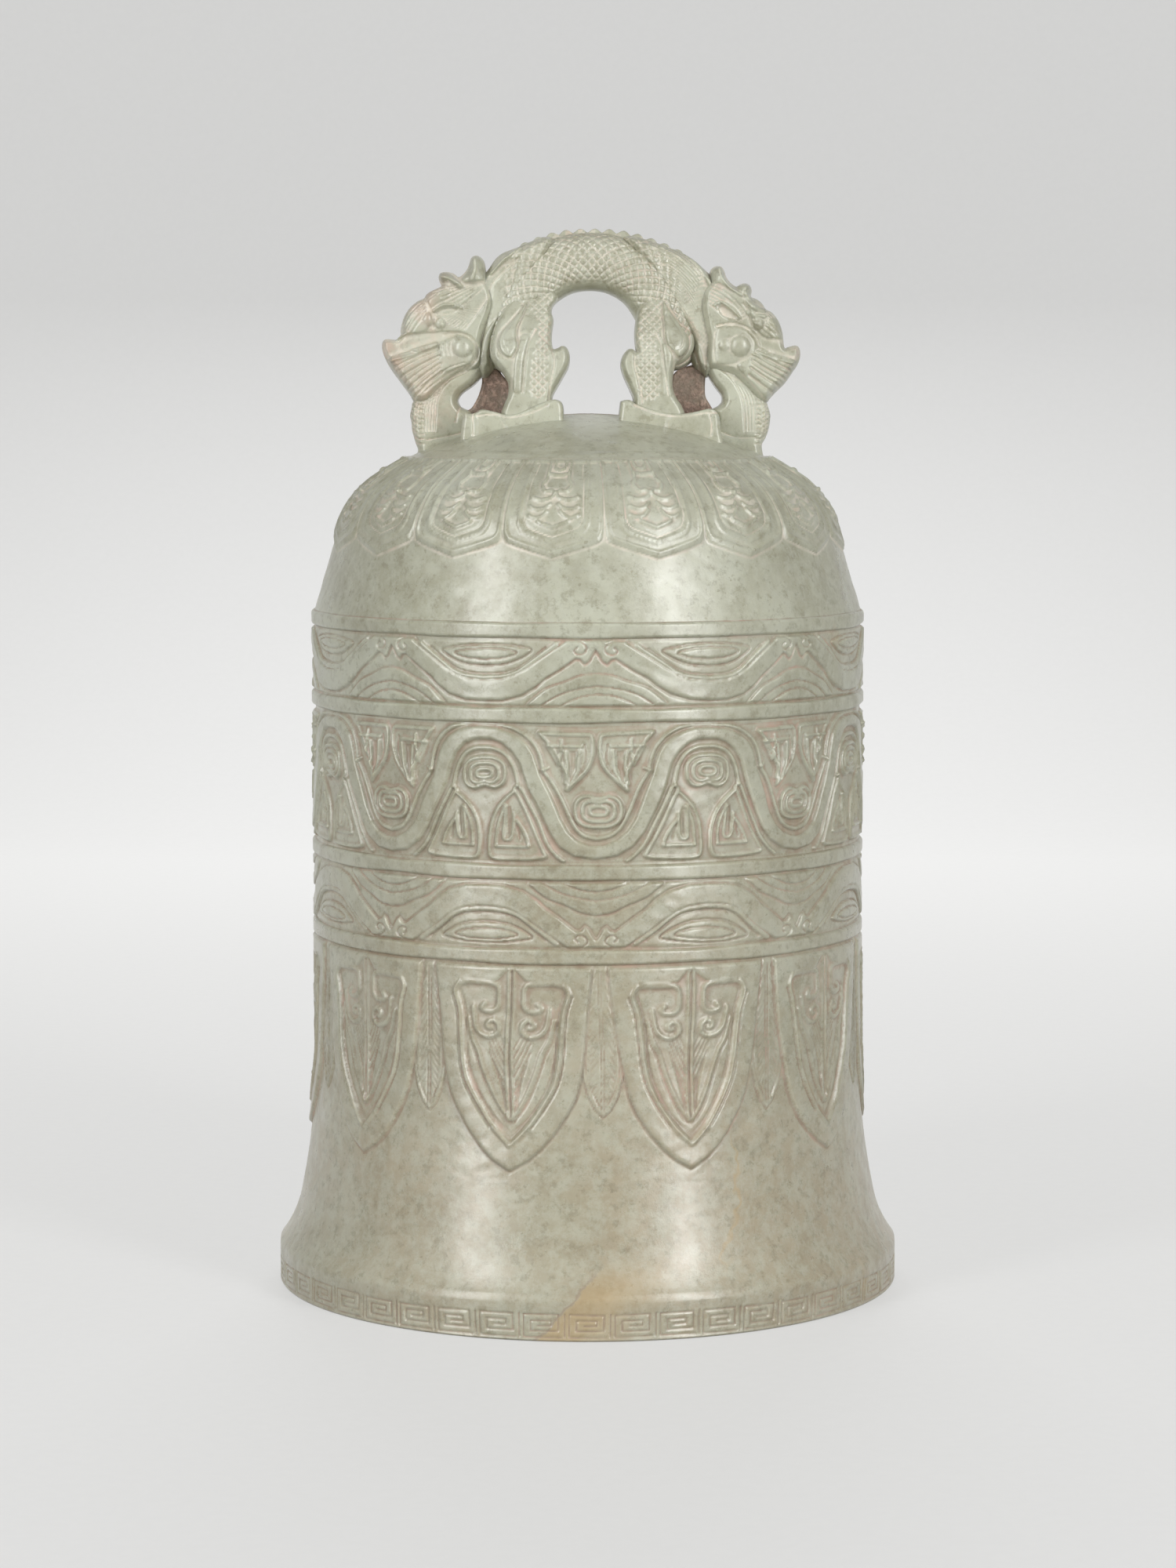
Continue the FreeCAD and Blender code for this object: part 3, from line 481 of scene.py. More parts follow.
def carve_rim(outline):
    strip = Ground(outline, 0.45, FRET_TOP, FRET_COLUMNS, pitch=0.3, seed=3)
    strip.repeat(FRET_UNITS, 0, wander=0.12, fold=False)
    unit = 360 / FRET_UNITS
    strip.cut([(x * unit, z) for x, z in FRET], 0.42, 0.24, smooth=False)
    for edge in (-0.5, 0.5):
        strip.cut([(edge * unit, 1.1), (edge * unit, 6.5)], 0.42, 0.24, smooth=False)
    strip.polish(0.03)
    strip.h = np.minimum(strip.h, 0)
    strip.stain += 0.12
    strip.piece("rim_fret", "bell_wall")


BLADE = [(0, 38.0), (3.5, 40.4), (6.2, 43.2), (8.7, 46.7), (11.0, 51.0), (12.6, 55.0),
         (13.7, 60.0), (14.7, 66.0), (15.6, 75.0), (16.4, 83.5), (16.6, 90.0)]
BLADE_INNER = [(0, 44.2), (3.3, 48.2), (6.0, 53.0), (8.4, 58.4), (9.6, 64.0), (10.2, 70.0),
               (10.7, 75.0), (11.7, 78.8)]
BLADE_HOOK = [(11.7, 78.8), (11.2, 80.6), (9.8, 81.4), (6.8, 81.5), (3.9, 81.4), (2.8, 80.6),
              (2.6, 78.5), (2.7, 76.3), (3.7, 75.1), (5.4, 75.0), (6.3, 75.7), (5.6, 76.6)]
BLADE_SPIRAL = [(8.0, 75.6), (7.7, 73.2), (7.2, 71.0), (5.8, 69.4), (3.9, 69.0), (2.5, 70.1),
                (2.5, 71.9), (3.7, 72.8), (4.8, 72.1), (4.7, 71.2), (3.9, 71.0)]
BLADE_HEART = [(8.9, 73.0), (7.8, 68.4), (6.3, 65.2), (5.2, 61.5), (3.8, 57.4), (2.1, 53.2),
               (0, 49.8)]
LEAF = [(0, 50.2), (1.6, 52.0), (3.1, 55.5), (4.1, 60.0), (4.1, 66.0), (3.6, 72.0),
        (2.7, 79.0), (2.1, 84.0), (1.9, 90.0)]


def mirrored_loop(half):
    """A whole outline from the half that starts on the middle line."""
    return half + [(-x, z) for x, z in reversed(half) if x > 0]


def carve_blades(outline):
    relief = mm("relief")
    strip = Ground(outline, BLADES_FOOT, BLADES_TOP, BLADE_COLUMNS, pitch=0.36, seed=11)
    strip.repeat(BLADES, angle("blade_turn"))
    strip.raise_to(mirrored_loop(LEAF), 0.42, 0.4, smooth=False)
    strip.cut(LEAF, 0.6, 0.16, smooth=False)
    strip.tint_inside(mirrored_loop(LEAF), 0.16)
    strip.cut([(x - 0.75, z + 1.4) for x, z in LEAF[1:-1]], 0.45, 0.16)
    strip.cut([(0.28, 51.5), (0.28, 84.5)], 0.4, 0.2, smooth=False)
    for step in range(17):
        z = 50.5 + step * 1.9
        strip.cut([(0.35, z), (1.4, z + 4.2), (2.5, z + 9.5)], 0.4, 0.13)
    strip.repeat(BLADES, angle("blade_turn") + math.pi / BLADES)
    strip.raise_to(mirrored_loop(BLADE), relief * 0.80, 0.5, 0.16, 2.2, smooth=False)
    strip.cut(BLADE, 0.9, 0.14, smooth=False)
    inner = BLADE_INNER + [(11.6, 80.0), (10.6, 81.9), (3.0, 82.2), (0, 85.6)]
    strip.raise_to(mirrored_loop(inner), relief * 0.45, 0.5, smooth=False)
    strip.tint_inside(mirrored_loop(inner), 0.20)
    strip.bead(BLADE_INNER[:-1] + BLADE_HOOK, 1.2, 0.36)
    strip.bead(BLADE_SPIRAL, 1.15, 0.36)
    strip.cut([(x + 0.8, z - 0.25) for x, z in BLADE_INNER[1:]], 0.45, 0.3)
    strip.cut([(x - 0.75, z + 0.5) for x, z in BLADE_INNER], 0.4, 0.2)
    strip.bead(BLADE_HEART, 0.8, 0.26)
    strip.cut([(x + 0.7, z - 0.5) for x, z in BLADE_HEART], 0.4, 0.18)
    strip.bead([(0.55, 49.6), (0.6, 84.0), (0.0, 85.6)], 0.62, 0.34, smooth=False)
    strip.cut([(0.0, 50.5), (0.0, 84.0)], 0.45, 0.25, smooth=False)
    for step in range(8):
        z = 51.5 + step * 2.1
        reach = min(1.0, (z - 49) / 9)
        strip.cut([(0.9, z), (0.9 + 1.6 * reach, z + 3.4), (0.9 + 3.3 * reach, z + 7.6)],
                  0.45, 0.16)
    strip.cut([(9.3, 72.0), (9.0, 66.0), (7.6, 59.5), (4.6, 52.0), (0, 46.6)], 0.4, 0.12)
    strip.polish()
    strip.piece("blade_skirt", "hanging_blades", "feather_leaves")


RIBBON_EDGE = [(0, 146.4), (4, 146.6), (8, 147.9), (10.8, 150.0), (12.5, 151.9), (15.3, 154.0),
               (17.2, 155.6), (18.6, 156.8), (19.5, 156.6), (20.3, 155.5), (21.2, 156.2),
               (21.9, 157.7), (22.5, 158.7)]
POCKET_EDGE = [(0, 151.2), (4, 151.6), (6.5, 152.6), (9, 154.4), (11, 156.1), (13, 157.7),
               (15, 159.2), (16.6, 160.4)]
HILL_ARCHES = [
    [(22.5, 153.4), (19.5, 152.9), (16.5, 151.4), (14.5, 150.6), (12.5, 149.6), (10.6, 147.9),
     (8.6, 145.9)],
    [(22.5, 150.3), (19.5, 149.8), (16.5, 148.9), (14.0, 147.6), (11.6, 145.8)],
    [(22.5, 148.4), (19.5, 147.9), (16.8, 146.7), (15.0, 145.6)],
]


def carve_eye_band(outline, name, low, high, flip, seed, nodes):
    """A wavy ribbon with an eye in each bay and a small hill in each gap."""
    relief = mm("relief")
    strip = Ground(outline, low, high, BAND_COLUMNS, pitch=0.29, seed=seed)
    side = (low, high, *UPPER_EYES) if flip else None
    strip.repeat(BAYS, angle("pattern_turn") - math.pi / BAYS, wander=0.3, flip=side)
    face = RIBBON_EDGE + [(26, 158.7), (26, 165), (-4, 165), (-4, 146.4)]
    strip.h += 0.46
    strip.raise_to(face, relief, 0.5, smooth=False)
    strip.cut(RIBBON_EDGE, 0.8, 0.26, smooth=False)
    pocket = [(-4, 151.2)] + POCKET_EDGE + [(16.4, 161.2), (13, 161.4), (-4, 161.4)]
    strip.raise_to(pocket, relief * 0.30, 0.4, smooth=False)
    strip.bead([(0, 152.0), (4, 152.4), (6.6, 153.4), (9, 155.3), (11, 157.0), (13.2, 158.7),
                (14.6, 159.9)], 1.1, 0.36)
    strip.cut([(0, 152.8), (4, 153.2), (6.6, 154.2), (8.6, 155.8), (10.6, 157.6), (12.4, 159.2)],
              0.5, 0.26)
    lens = [(9.6, 158.7), (7.0, 156.6), (4.0, 155.4), (0, 155.0), (-4, 155.4), (-4, 159.9),
            (0, 160.0), (4.5, 159.8), (7.5, 159.3)]
    strip.raise_to(lens, relief * 0.62, 0.4)
    strip.cut([(0, 155.0), (4.0, 155.4), (7.0, 156.6), (9.6, 158.6), (7.3, 159.4), (4, 159.9),
               (0, 160.1)], 0.5, 0.36)
    pupil = [(6.6, 158.1), (4.0, 157.1), (0, 156.6), (-4, 157.1), (-4, 159.0), (0, 159.3),
             (4.0, 158.9)]
    strip.raise_to(pupil, relief * 0.86, 0.35)
    strip.cut([(0, 156.6), (4.0, 157.0), (6.6, 158.1), (4.0, 158.9), (0, 159.2)], 0.45, 0.3)
    strip.cut([(15.6, 160.6), (17.6, 160.9), (19.6, 160.5), (20.7, 159.4), (20.3, 158.2),
               (19.1, 157.8), (18.3, 158.6), (18.9, 159.4)], 0.5, 0.34)
    outer = HILL_ARCHES[0] + [(8.6, 143), (26, 143), (26, 153.4)]
    strip.raise_to(outer, relief * 0.72, 0.6, 0.12, 1.2, smooth=False)
    for arch, level in zip(HILL_ARCHES[1:], (0.52, 0.78)):
        foot = arch[-1][0]
        strip.raise_to(arch + [(foot, 143), (26, 143), (26, arch[0][1])], relief * level, 0.5,
                       0.1, 1.0, smooth=False)
        strip.cut(arch, 0.45, 0.3)
    strip.cut(HILL_ARCHES[0], 0.6, 0.2)
    strip.finish_band(relief)
    strip.piece(name, *nodes)


WAVE_TOP = [(0, 140.5), (3.0, 140.4), (5.5, 139.7), (7.6, 138.5), (9.2, 136.9), (10.3, 134.8),
            (11.0, 132.2), (11.6, 129.8), (13.4, 125.2), (15.3, 119.8), (16.8, 117.0),
            (18.8, 115.0), (21.0, 114.0), (22.5, 113.8)]
WAVE_FOOT = [(0, 137.8), (2.0, 137.7), (4.0, 136.9), (6.0, 135.0), (7.4, 132.4), (8.1, 129.6),
             (9.0, 126.4), (11.2, 121.4), (13.2, 116.8), (15.3, 113.6), (18.4, 111.4),
             (22.5, 110.7)]
PEAK_CONTOUR = [(0, 141.4), (3.4, 141.3), (6.4, 140.5), (9.0, 138.9), (10.8, 136.6),
                (11.8, 133.6), (12.1, 131.0)]
TROUGH_CONTOUR = [(12.4, 130.4), (14.0, 127.8), (15.4, 124.6), (16.8, 120.9), (18.2, 118.0),
                  (20.0, 116.2), (22.5, 115.5)]
UNDER_PEAK = [(0, 136.0), (2.2, 135.8), (4.4, 134.6), (5.8, 132.4), (6.6, 129.8), (7.0, 127.2)]
UNDER_TROUGH = [(7.6, 126.6), (9.4, 122.6), (11.2, 118.6), (12.8, 114.6), (14.6, 112.0),
                (16.4, 110.3)]
BOOT = [(6.4, 126.0), (4.2, 123.9), (2.4, 121.4), (1.3, 118.0), (1.0, 114.5), (1.2, 111.6),
        (2.4, 110.6), (6.0, 110.5), (10.0, 110.7), (12.8, 111.2), (12.4, 112.6), (11.0, 115.6),
        (9.6, 118.9), (8.4, 121.9), (7.3, 124.4)]
FEATHER = [(11.6, 139.8), (16.0, 139.9), (20.0, 139.9), (21.5, 139.6), (21.9, 138.0),
           (21.9, 135.6), (21.2, 132.6), (19.8, 130.2), (18.0, 127.9), (16.6, 126.4),
           (16.9, 129.2), (15.8, 132.6), (14.4, 135.6), (13.0, 137.9)]


def ring(centre, width, height, notch, up, count=28):
    """A rounded ring with a dip in its middle, above or below."""
    out = []
    for step in range(count):
        a = 2 * math.pi * step / count
        c, s = math.cos(a), math.sin(a)
        x = width * math.copysign(abs(c) ** 0.75, c)
        z = height * math.copysign(abs(s) ** 0.75, s)
        if (s > 0) == up:
            z -= math.copysign(notch * math.exp(-(x / (0.35 * width)) ** 2), s)
        out.append((centre[0] + x, centre[1] + z))
    return out


def carve_waves(outline):
    relief = mm("relief")
    low, high = WAVES
    strip = Ground(outline, low, high, BAND_COLUMNS, pitch=0.29, seed=23)
    strip.repeat(BAYS, angle("pattern_turn") - math.pi / BAYS, wander=0.3)
    for loop in (BOOT, FEATHER):
        strip.raise_to(loop, relief * 0.42, 0.5)
        strip.bead(loop + loop[:1], 0.85, 0.40)
    for line in (
        [(2.5, 113.7), (2.9, 118.4), (4.4, 122.6)],
        [(2.6, 113.6), (9.3, 113.6)],
        [(4.6, 122.4), (4.2, 118.6), (4.1, 115.5), (5.4, 115.2), (6.0, 117.0), (6.2, 120.6)],
        [(6.6, 119.4), (7.8, 117.6), (8.8, 115.6), (9.2, 113.9)],
    ):
        strip.bead(line, 0.72, 0.32)
    hollow = [(4.8, 116.1), (5.3, 116.0), (5.6, 119.4), (5.4, 122.4), (4.9, 122.0)]
    strip.raise_to(hollow, 0.0, 0.4, smooth=False)
    strip.tint_inside(hollow, 0.5)
    strip.cut([(7.4, 115.2), (6.8, 118.2)], 0.5, 0.22, smooth=False)
    for line in (
        [(13.1, 137.0), (19.6, 137.1)], [(15.8, 138.4), (15.8, 136.2)],
        [(13.1, 136.8), (15.2, 132.4), (15.8, 136.2)],
        [(16.5, 135.9), (16.9, 131.8), (16.3, 128.0)],
        [(19.3, 136.2), (18.9, 131.0), (17.4, 127.6)],
    ):
        strip.bead(line, 0.72, 0.32, smooth=len(line) > 3)
    hollow = [(17.2, 136.0), (18.5, 136.0), (18.3, 132.0), (17.3, 129.2)]
    strip.raise_to(hollow, 0.0, 0.4, smooth=False)
    strip.tint_inside(hollow, 0.5)
    strip.cut([(20.3, 137.6), (20.5, 134.0), (19.6, 130.8)], 0.5, 0.26)
    band = WAVE_TOP + [(26, 113.8), (26, 110.7)] + WAVE_FOOT[::-1] + [(-4, 137.8), (-4, 140.5)]
    strip.raise_to(band, relief, 0.85, smooth=False)
    for line in (PEAK_CONTOUR, TROUGH_CONTOUR, UNDER_PEAK, UNDER_TROUGH):
        strip.bead(line, 0.95, 0.50)
    strip.bead([(7.0, 127.2), (6.2, 126.4)], 0.8, 0.4, smooth=False)
    strip.bead([(12.1, 131.0), (13.0, 131.6)], 0.8, 0.4, smooth=False)
    for centre, up in (((0, 130.2), False), ((22.5, 121.8), True)):
        strip.raise_to(ring(centre, 4.7, 3.9, 0.9, up), relief * 0.45, 0.5)
        for width, height, notch in ((4.5, 3.7, 0.9), (3.1, 2.4, 0.5), (1.7, 1.0, 0.0)):
            loop = ring(centre, width, height, notch, up)
            strip.bead(loop + loop[:1], 0.85, 0.40)
    strip.cut([(0, 134.9), (3.4, 134.0), (5.2, 131.4)], 0.4, 0.15)
    strip.cut([(22.5, 116.6), (19.4, 117.5), (17.4, 120.4)], 0.4, 0.15)
    strip.cut([(0, 141.3), (26, 141.3)], 0.5, 0.12, smooth=False)
    strip.cut([(0, 109.8), (26, 109.8)], 0.5, 0.12, smooth=False)
    strip.finish_band(relief)
    strip.piece("wave_band", "wave_ribbon", "wave_bosses", "wave_fangs")


def carve_lappets(outline):
    relief = mm("lappet_relief")
    low, high = LAPPETS
    strip = Ground(outline, low, high, PETAL_COLUMNS, pitch=0.33, seed=31)
    strip.repeat(PETALS, angle("lappet_turn") - math.pi / PETALS, wander=0.15)
    face = [(0, 179.3), (4.0, 180.6), (8.0, 182.0), (10.2, 182.9), (10.9, 184.0), (11.25, 185.4),
            (14, 185.4)]
    outside = face + [(14, 204), (-3, 204), (-3, 179.3)]
    strip.raise_to(outside, relief * 0.75, 0.55, smooth=False)
    strip.bead([(0, 180.5), (4.0, 181.8), (8.0, 183.2), (9.6, 183.9), (10.3, 185.0),
                (10.6, 187.0), (10.7, 200.4)], 0.75, 0.20, smooth=False)
    strip.cut([(11.25, 185.8), (11.25, 201.0)], 0.4, 0.09, smooth=False)
    inner = [(0, 182.9), (3.4, 184.0), (6.2, 185.1), (7.3, 186.6), (7.6, 189.0), (7.6, 200.4)]
    strip.bead(inner, 1.0, 0.24)
    strip.cut(inner, 0.35, 0.20)
    strip.cut([(x * 0.90 - 0.2, z + 1.1) for x, z in inner[:-1]] + [(6.2, 200.0)], 0.4, 0.14)
    for line in (
        [(2.9, 200.3), (2.8, 196.8), (3.6, 195.6), (2.6, 194.1), (1.0, 194.2), (0, 193.5)],
        [(0, 197.6), (2.6, 197.8)], [(1.5, 200.4), (1.3, 199.2), (0, 198.7)],
        [(0, 193.5), (1.2, 192.6), (3.4, 192.2), (5.4, 192.8)],
        [(0.9, 191.4), (2.2, 190.4), (4.0, 190.2), (5.5, 190.8)],
        [(1.5, 189.8), (2.8, 188.6), (4.4, 188.4), (5.5, 188.9)],
        [(0, 186.2), (2.4, 187.1), (3.4, 187.6)],
    ):
        strip.bead(line, 0.8, 0.34)
    for height in (200.9, 202.7):
        strip.bead([(-1, height), (14, height)], 0.75, 0.20, smooth=False)
    upper = smoothstep(201.0, 201.6, strip.z)
    strip.h = strip.h * (1 - upper * 0.75)
    strip.tint_low(relief * 0.9, 0.12)
    strip.stain *= smoothstep(182, 186, strip.z)
    strip.polish(0.02)
    strip.piece("shoulder_petals", "shoulder_lappets")


def carve_plain(outline):
    """The polished parts between the bands, and the four raised rings."""
    flare = Ground(outline, FRET_TOP, BLADES_FOOT, PLAIN_COLUMNS, pitch=1.2, seed=41)
    flare.polish(0.03)
    flare.h = np.minimum(flare.h, 0)
    flare.piece("plain_flare", "bell_wall")
    neck_top = FILLETS["neck"][1]
    shoulder = Ground(outline, neck_top, LAPPETS[0], PLAIN_COLUMNS, pitch=0.9, seed=43)
    shoulder.polish(0.03)
    shoulder.piece("plain_shoulder", "bell_wall")
    relief = mm("relief")
    for name, (low, high) in FILLETS.items():
        strip = Ground(outline, low, high, PLAIN_COLUMNS, pitch=0.19, seed=47 + int(low))
        wander = waver(strip.theta, strip.z * 0, 0.10, 26.0, strip.seed)
        inside = np.minimum(strip.z - low, high - strip.z) + wander - 0.15
        strip.h = relief * dome(inside / 0.75)
        strip.h += waver(strip.theta, strip.z, 0.02, 9.0, strip.seed + 1) * (strip.h > 0)
        strip.h[0] = strip.h[-1] = 0.0
        strip.piece(f"{name}_ring", f"{name}_fillet")


def carve_crown(outline):
    """The plain top, unpolished between the feet where no wheel could reach."""
    s = np.linspace(outline.along(LAPPETS[1]), outline.s[-1], 56)[:-1]
    theta = np.linspace(0, 2 * math.pi, PLAIN_COLUMNS, endpoint=False)[None, :]
    r, z, nr, nz = (k[:, None] for k in outline.at(s))
    h = waver(theta, s[:, None], 0.03, 12.0, 53) * smoothstep(0, 4, s - s[0])[:, None]
    points, quads = laid_round(r + nr * h, z + nz * h, theta)
    across, deep = np.abs(points[:, 0]), np.abs(points[:, 1])
    rough = (1 - smoothstep(1.5, 6.5, deep)) * (1 - smoothstep(38, 46, across))
    apex = len(points)
    last = np.arange(apex - PLAIN_COLUMNS, apex)
    fan = np.stack([last, np.roll(last, -1), np.full(PLAIN_COLUMNS, apex)], axis=-1)
    points = np.vstack([points, [[0, 0, outline.apex]]])
    raw = np.r_[rough, 1] * 0.75
    add_piece("crown_top", points, [quads, fan], ("bell_wall",), raw=raw)


def carve_inside(outline):
    """The rim's flat foot and the hollowed inner face, left matt."""
    wall, rim = mm("wall"), outline.rim
    mouth = rim - wall
    theta = np.linspace(0, 2 * math.pi, INSIDE_COLUMNS, endpoint=False)[None, :]
    s = np.linspace(outline.s[-1], outline.along(1.2), 110)
    r, z, nr, nz = outline.at(s)
    inner_r, inner_z = np.clip(r - nr * wall, 0.02, None), z - nz * wall
    foot = [(mouth, 0.7), (mouth + 0.25, 0.2), (mouth + 0.8, 0.0), (rim - 0.6, 0.0),
            (rim - 0.2, 0.12), (rim, 0.45)]
    r = np.r_[inner_r, [p[0] for p in foot]][:, None]
    z = np.r_[inner_z, [p[1] for p in foot]][:, None]
    deep = np.r_[np.ones(len(inner_r)), np.zeros(len(foot))][:, None]
    r = r - deep * (0.12 + waver(theta, z, 0.05, 7.0, 61)) * smoothstep(1.0, 6.0, r)
    raw = np.broadcast_to(deep * 0.22, r.shape)
    add_piece("hollowed_inside", *laid_round(r, z, theta), ("bell_wall",), raw=raw)


# The dragon. Its figures are drawn on one sheet, about 27 units to the millimetre,
# that runs from the left lip to the right and down from above the crest.

SHEET_LEFT, SHEET_TOP = -51.83, 258.05
SHEET_ACROSS, SHEET_DOWN = 0.036807, 0.036172
RIGHT_SIDE = 1385
LEAN = 0.095


def drawn(points, side=0):
    """Places of the drawing in millimetres. The side moves a right-hand figure over."""
    p = np.asarray(points, dtype=float)
    return np.stack([
        SHEET_LEFT + (p[:, 0] + side) * SHEET_ACROSS, SHEET_TOP - p[:, 1] * SHEET_DOWN,
    ], axis=1)


class Slab:
    """One member of the dragon while it is being carved from the front.

    Its outline cuts right through, rounded over towards the front, and the relief is
    how far the front face stands from the member's own middle plane.
    """

    def __init__(self, outline_points, half, roundness, side=0, level=None):
        pitch = mm("dragon_pitch")
        self.side = side
        loop = curved(drawn(outline_points, side), 4, True)
        low, high = loop.min(axis=0) - 2, loop.max(axis=0) + 2
        self.x = np.arange(low[0], high[0], pitch)
        self.z = np.arange(low[1] - 1, high[1] + 2.5, pitch)
        self.u, self.v = np.meshgrid(self.x, self.z, indexing="ij")
        self.inside = depth_inside(self.u, self.v, loop, 9.0)
        self.half, self.roundness = half, roundness
        self.h = np.full(self.u.shape, float(half if level is None else level))
        self.raw = np.zeros(self.u.shape)

    def raise_to(self, loop, level, edge=0.6, bulge=0.0, bulge_width=2.0):
        loop = curved(drawn(loop, self.side), 4, True)
        inside = depth_inside(self.u, self.v, loop, max(4.0, bulge_width))
        target = level + bulge * dome(inside / bulge_width)
        self.h += (target - self.h) * smoothstep(-edge * 0.5, edge * 0.5, inside)
        return self

    def ball(self, centre, radius, height):
        centre = drawn([centre], self.side)[0]
        d = np.hypot(self.u - centre[0], self.v - centre[1]) / radius
        self.h = np.maximum(self.h, height - radius * 0.8 * (1 - np.sqrt(np.clip(1 - d * d, 0, 1))))
        return self

    def cut(self, line, width=0.5, depth=0.35):
        line = curved(drawn(line, self.side), 5)
        d = line_distance(self.u, self.v, line, width + 0.3)
        self.h -= depth * (1 - smoothstep(0.1 * width, 0.65 * width, d))
        return self

    def bead(self, line, width=0.9, height=0.4):
        line = curved(drawn(line, self.side), 5)
        d = line_distance(self.u, self.v, line, width + 0.3)
        self.h += height * np.sqrt(np.clip(1 - (d / (0.55 * width)) ** 2, 0, 1))
        return self

    def strands(self, first, last, count, width=0.45, depth=0.3):
        """Grooves between two lines, which share them out evenly."""
        first, last = np.asarray(first, dtype=float), np.asarray(last, dtype=float)
        for step in range(count):
            t = step / (count - 1)
            self.cut(first * (1 - t) + last * t, width, depth)
        return self

    def sampled(self, field, lean):
        """The field at the height where a face that stands out is seen from the front."""
        cells = lean / (self.z[1] - self.z[0])
        whole = int(cells)
        part = cells - whole
        rolled = np.roll(field, whole, axis=1)
        return (1 - part) * rolled + part * np.roll(field, whole + 1, axis=1)

    def solid(self, name, bell, nodes, spread=None, sink=2.2, rough=0.0):
        """Works the slab through and makes its piece. A spread member is one of a pair."""
        pitch = mm("dragon_pitch")
        form = blurred(self.h, 5)
        detail = 0.8 * self.h + 0.2 * blurred(self.h, 1) - form
        if spread is None:
            y = np.arange(-self.half - 1, self.half + 1 + pitch, pitch)
            middle = np.zeros(len(self.z))
        else:
            middle = np.interp(self.z, *spread[1])
            y = np.arange(middle.min() - self.half - 1, middle.max() + self.half + 1, pitch)
        field = np.empty((len(self.x), len(y), len(self.z)), dtype=np.float32)
        r = self.roundness
        for j, place in enumerate(y):
            off = np.abs(place - middle)[None, :]
            inside, h, fine = (
                self.sampled(k, LEAN * abs(place)) for k in (self.inside, form, detail))
            across, up = np.maximum(r - inside, 0), np.maximum(off - (self.half - r), 0)
            body = np.maximum(np.hypot(across, up) - r, (off - h) * 0.9)
            front = np.clip(1.3 * up / r, 0, 1)
            floor = bell.crown_height(self.x[:, None], place) - sink - self.z[None, :]
            field[:, j, :] = np.maximum(body - front * fine, floor)
        edge = [slice(None)] * 3
        for axis in range(3):
            for end in (0, -1):
                edge[axis] = end
                field[tuple(edge)] = np.maximum(field[tuple(edge)], pitch)
                edge[axis] = slice(None)
        points, faces = surface(field)
        points = points * pitch + [self.x[0], y[0], self.z[0]]
        column = np.clip(((points[:, 0] - self.x[0]) / pitch).round().astype(int), 0, len(self.x) - 1)
        seen = points[:, 2] - LEAN * np.abs(points[:, 1])
        row = np.clip(((seen - self.z[0]) / pitch).round().astype(int), 0, len(self.z) - 1)
        near, wide = blurred(self.h, 3) - self.h, blurred(self.h, 8) - self.h
        hollow = np.clip(near * 5, 0, 1) * 0.8 + np.clip(wide * 1.2, 0, 1) * 0.4
        raw = np.maximum(self.raw, rough)[column, row]
        if spread is not None and spread[0] > 0:
            points = points * [1, -1, 1]
            faces = [f[:, ::-1] for f in faces]
        return add_piece(name, points, faces, nodes, hollow[column, row], raw)


def surface(field):
    """The zero surface of a field, in cells."""
    grid = openvdb.FloatGrid(background=9.0)
    grid.copyFromArray(field)
    points, triangles, quads = grid.convertToPolygons(isovalue=0.0, adaptivity=0.0)
    return np.asarray(points, dtype=float), [triangles[:, ::-1], quads[:, ::-1]]


LEG_PLANE = ([212.0, 225.0, 228.0, 232.0, 236.0, 240.0, 243.0], [9.8, 9.8, 8.9, 7.2, 4.8, 2.5, 1.0])
FOOT_PLANE = ([200.0, 250.0], [9.8, 9.8])

SPINE = [(-19.5, 229.0), (-17.6, 236.0), (-13.4, 243.0), (-7.0, 247.4), (0.0, 248.8),
         (7.0, 247.8), (13.6, 243.8), (18.2, 237.0), (20.2, 229.5)]
BODY_THICK, BODY_DEEP, BODY_SQUARE = 7.0, 7.4, 2.3
NAPE_FALL = 0.9
CREST_FOOT = [(-20.5, 250.6), (-17.0, 252.1), (-13.9, 253.4), (-10.1, 254.7), (-7.0, 255.4),
              (-3.9, 255.8), (0.0, 255.95), (3.7, 255.9), (6.8, 255.7), (10.7, 255.1),
              (14.5, 254.0), (18.4, 252.7), (21.4, 251.4), (24.5, 250.1)]
TOOTH_PITCH, TEETH_LEFT, TEETH_RIGHT = 3.5, 5, 7
SCALE_PITCH = 2.2

LEG = [(1040, 400), (950, 480), (880, 555), (838, 630), (804, 720), (786, 800), (776, 860),
       (776, 912), (792, 952), (822, 988), (856, 1032), (886, 1086), (892, 1142), (884, 1190),
       (862, 1240), (850, 1330), (1000, 1420), (1180, 1400), (1176, 1260), (1174, 1195), (1184, 1160), (1212, 1110),
       (1252, 1040), (1282, 980), (1291, 925), (1284, 880), (1264, 850), (1240, 846),
       (1214, 860), (1186, 868), (1174, 840), (1170, 780), (1176, 720), (1183, 660),
       (1170, 604), (1180, 560), (1215, 500), (1150, 410)]
TUFT = [(1024, 524), (990, 570), (948, 630), (898, 692), (850, 752), (830, 800), (826, 850),
        (842, 896), (872, 926), (906, 936), (936, 904), (954, 860), (950, 812), (946, 750),
        (966, 680), (1000, 600)]
FOOT = [(598, 1312), (640, 1306), (680, 1296), (722, 1274), (800, 1290), (880, 1310), (960, 1300),
        (1040, 1262), (1110, 1232), (1168, 1212), (1214, 1214), (1244, 1246), (1250, 1330),
        (1240, 1480), (900, 1560), (600, 1600)]

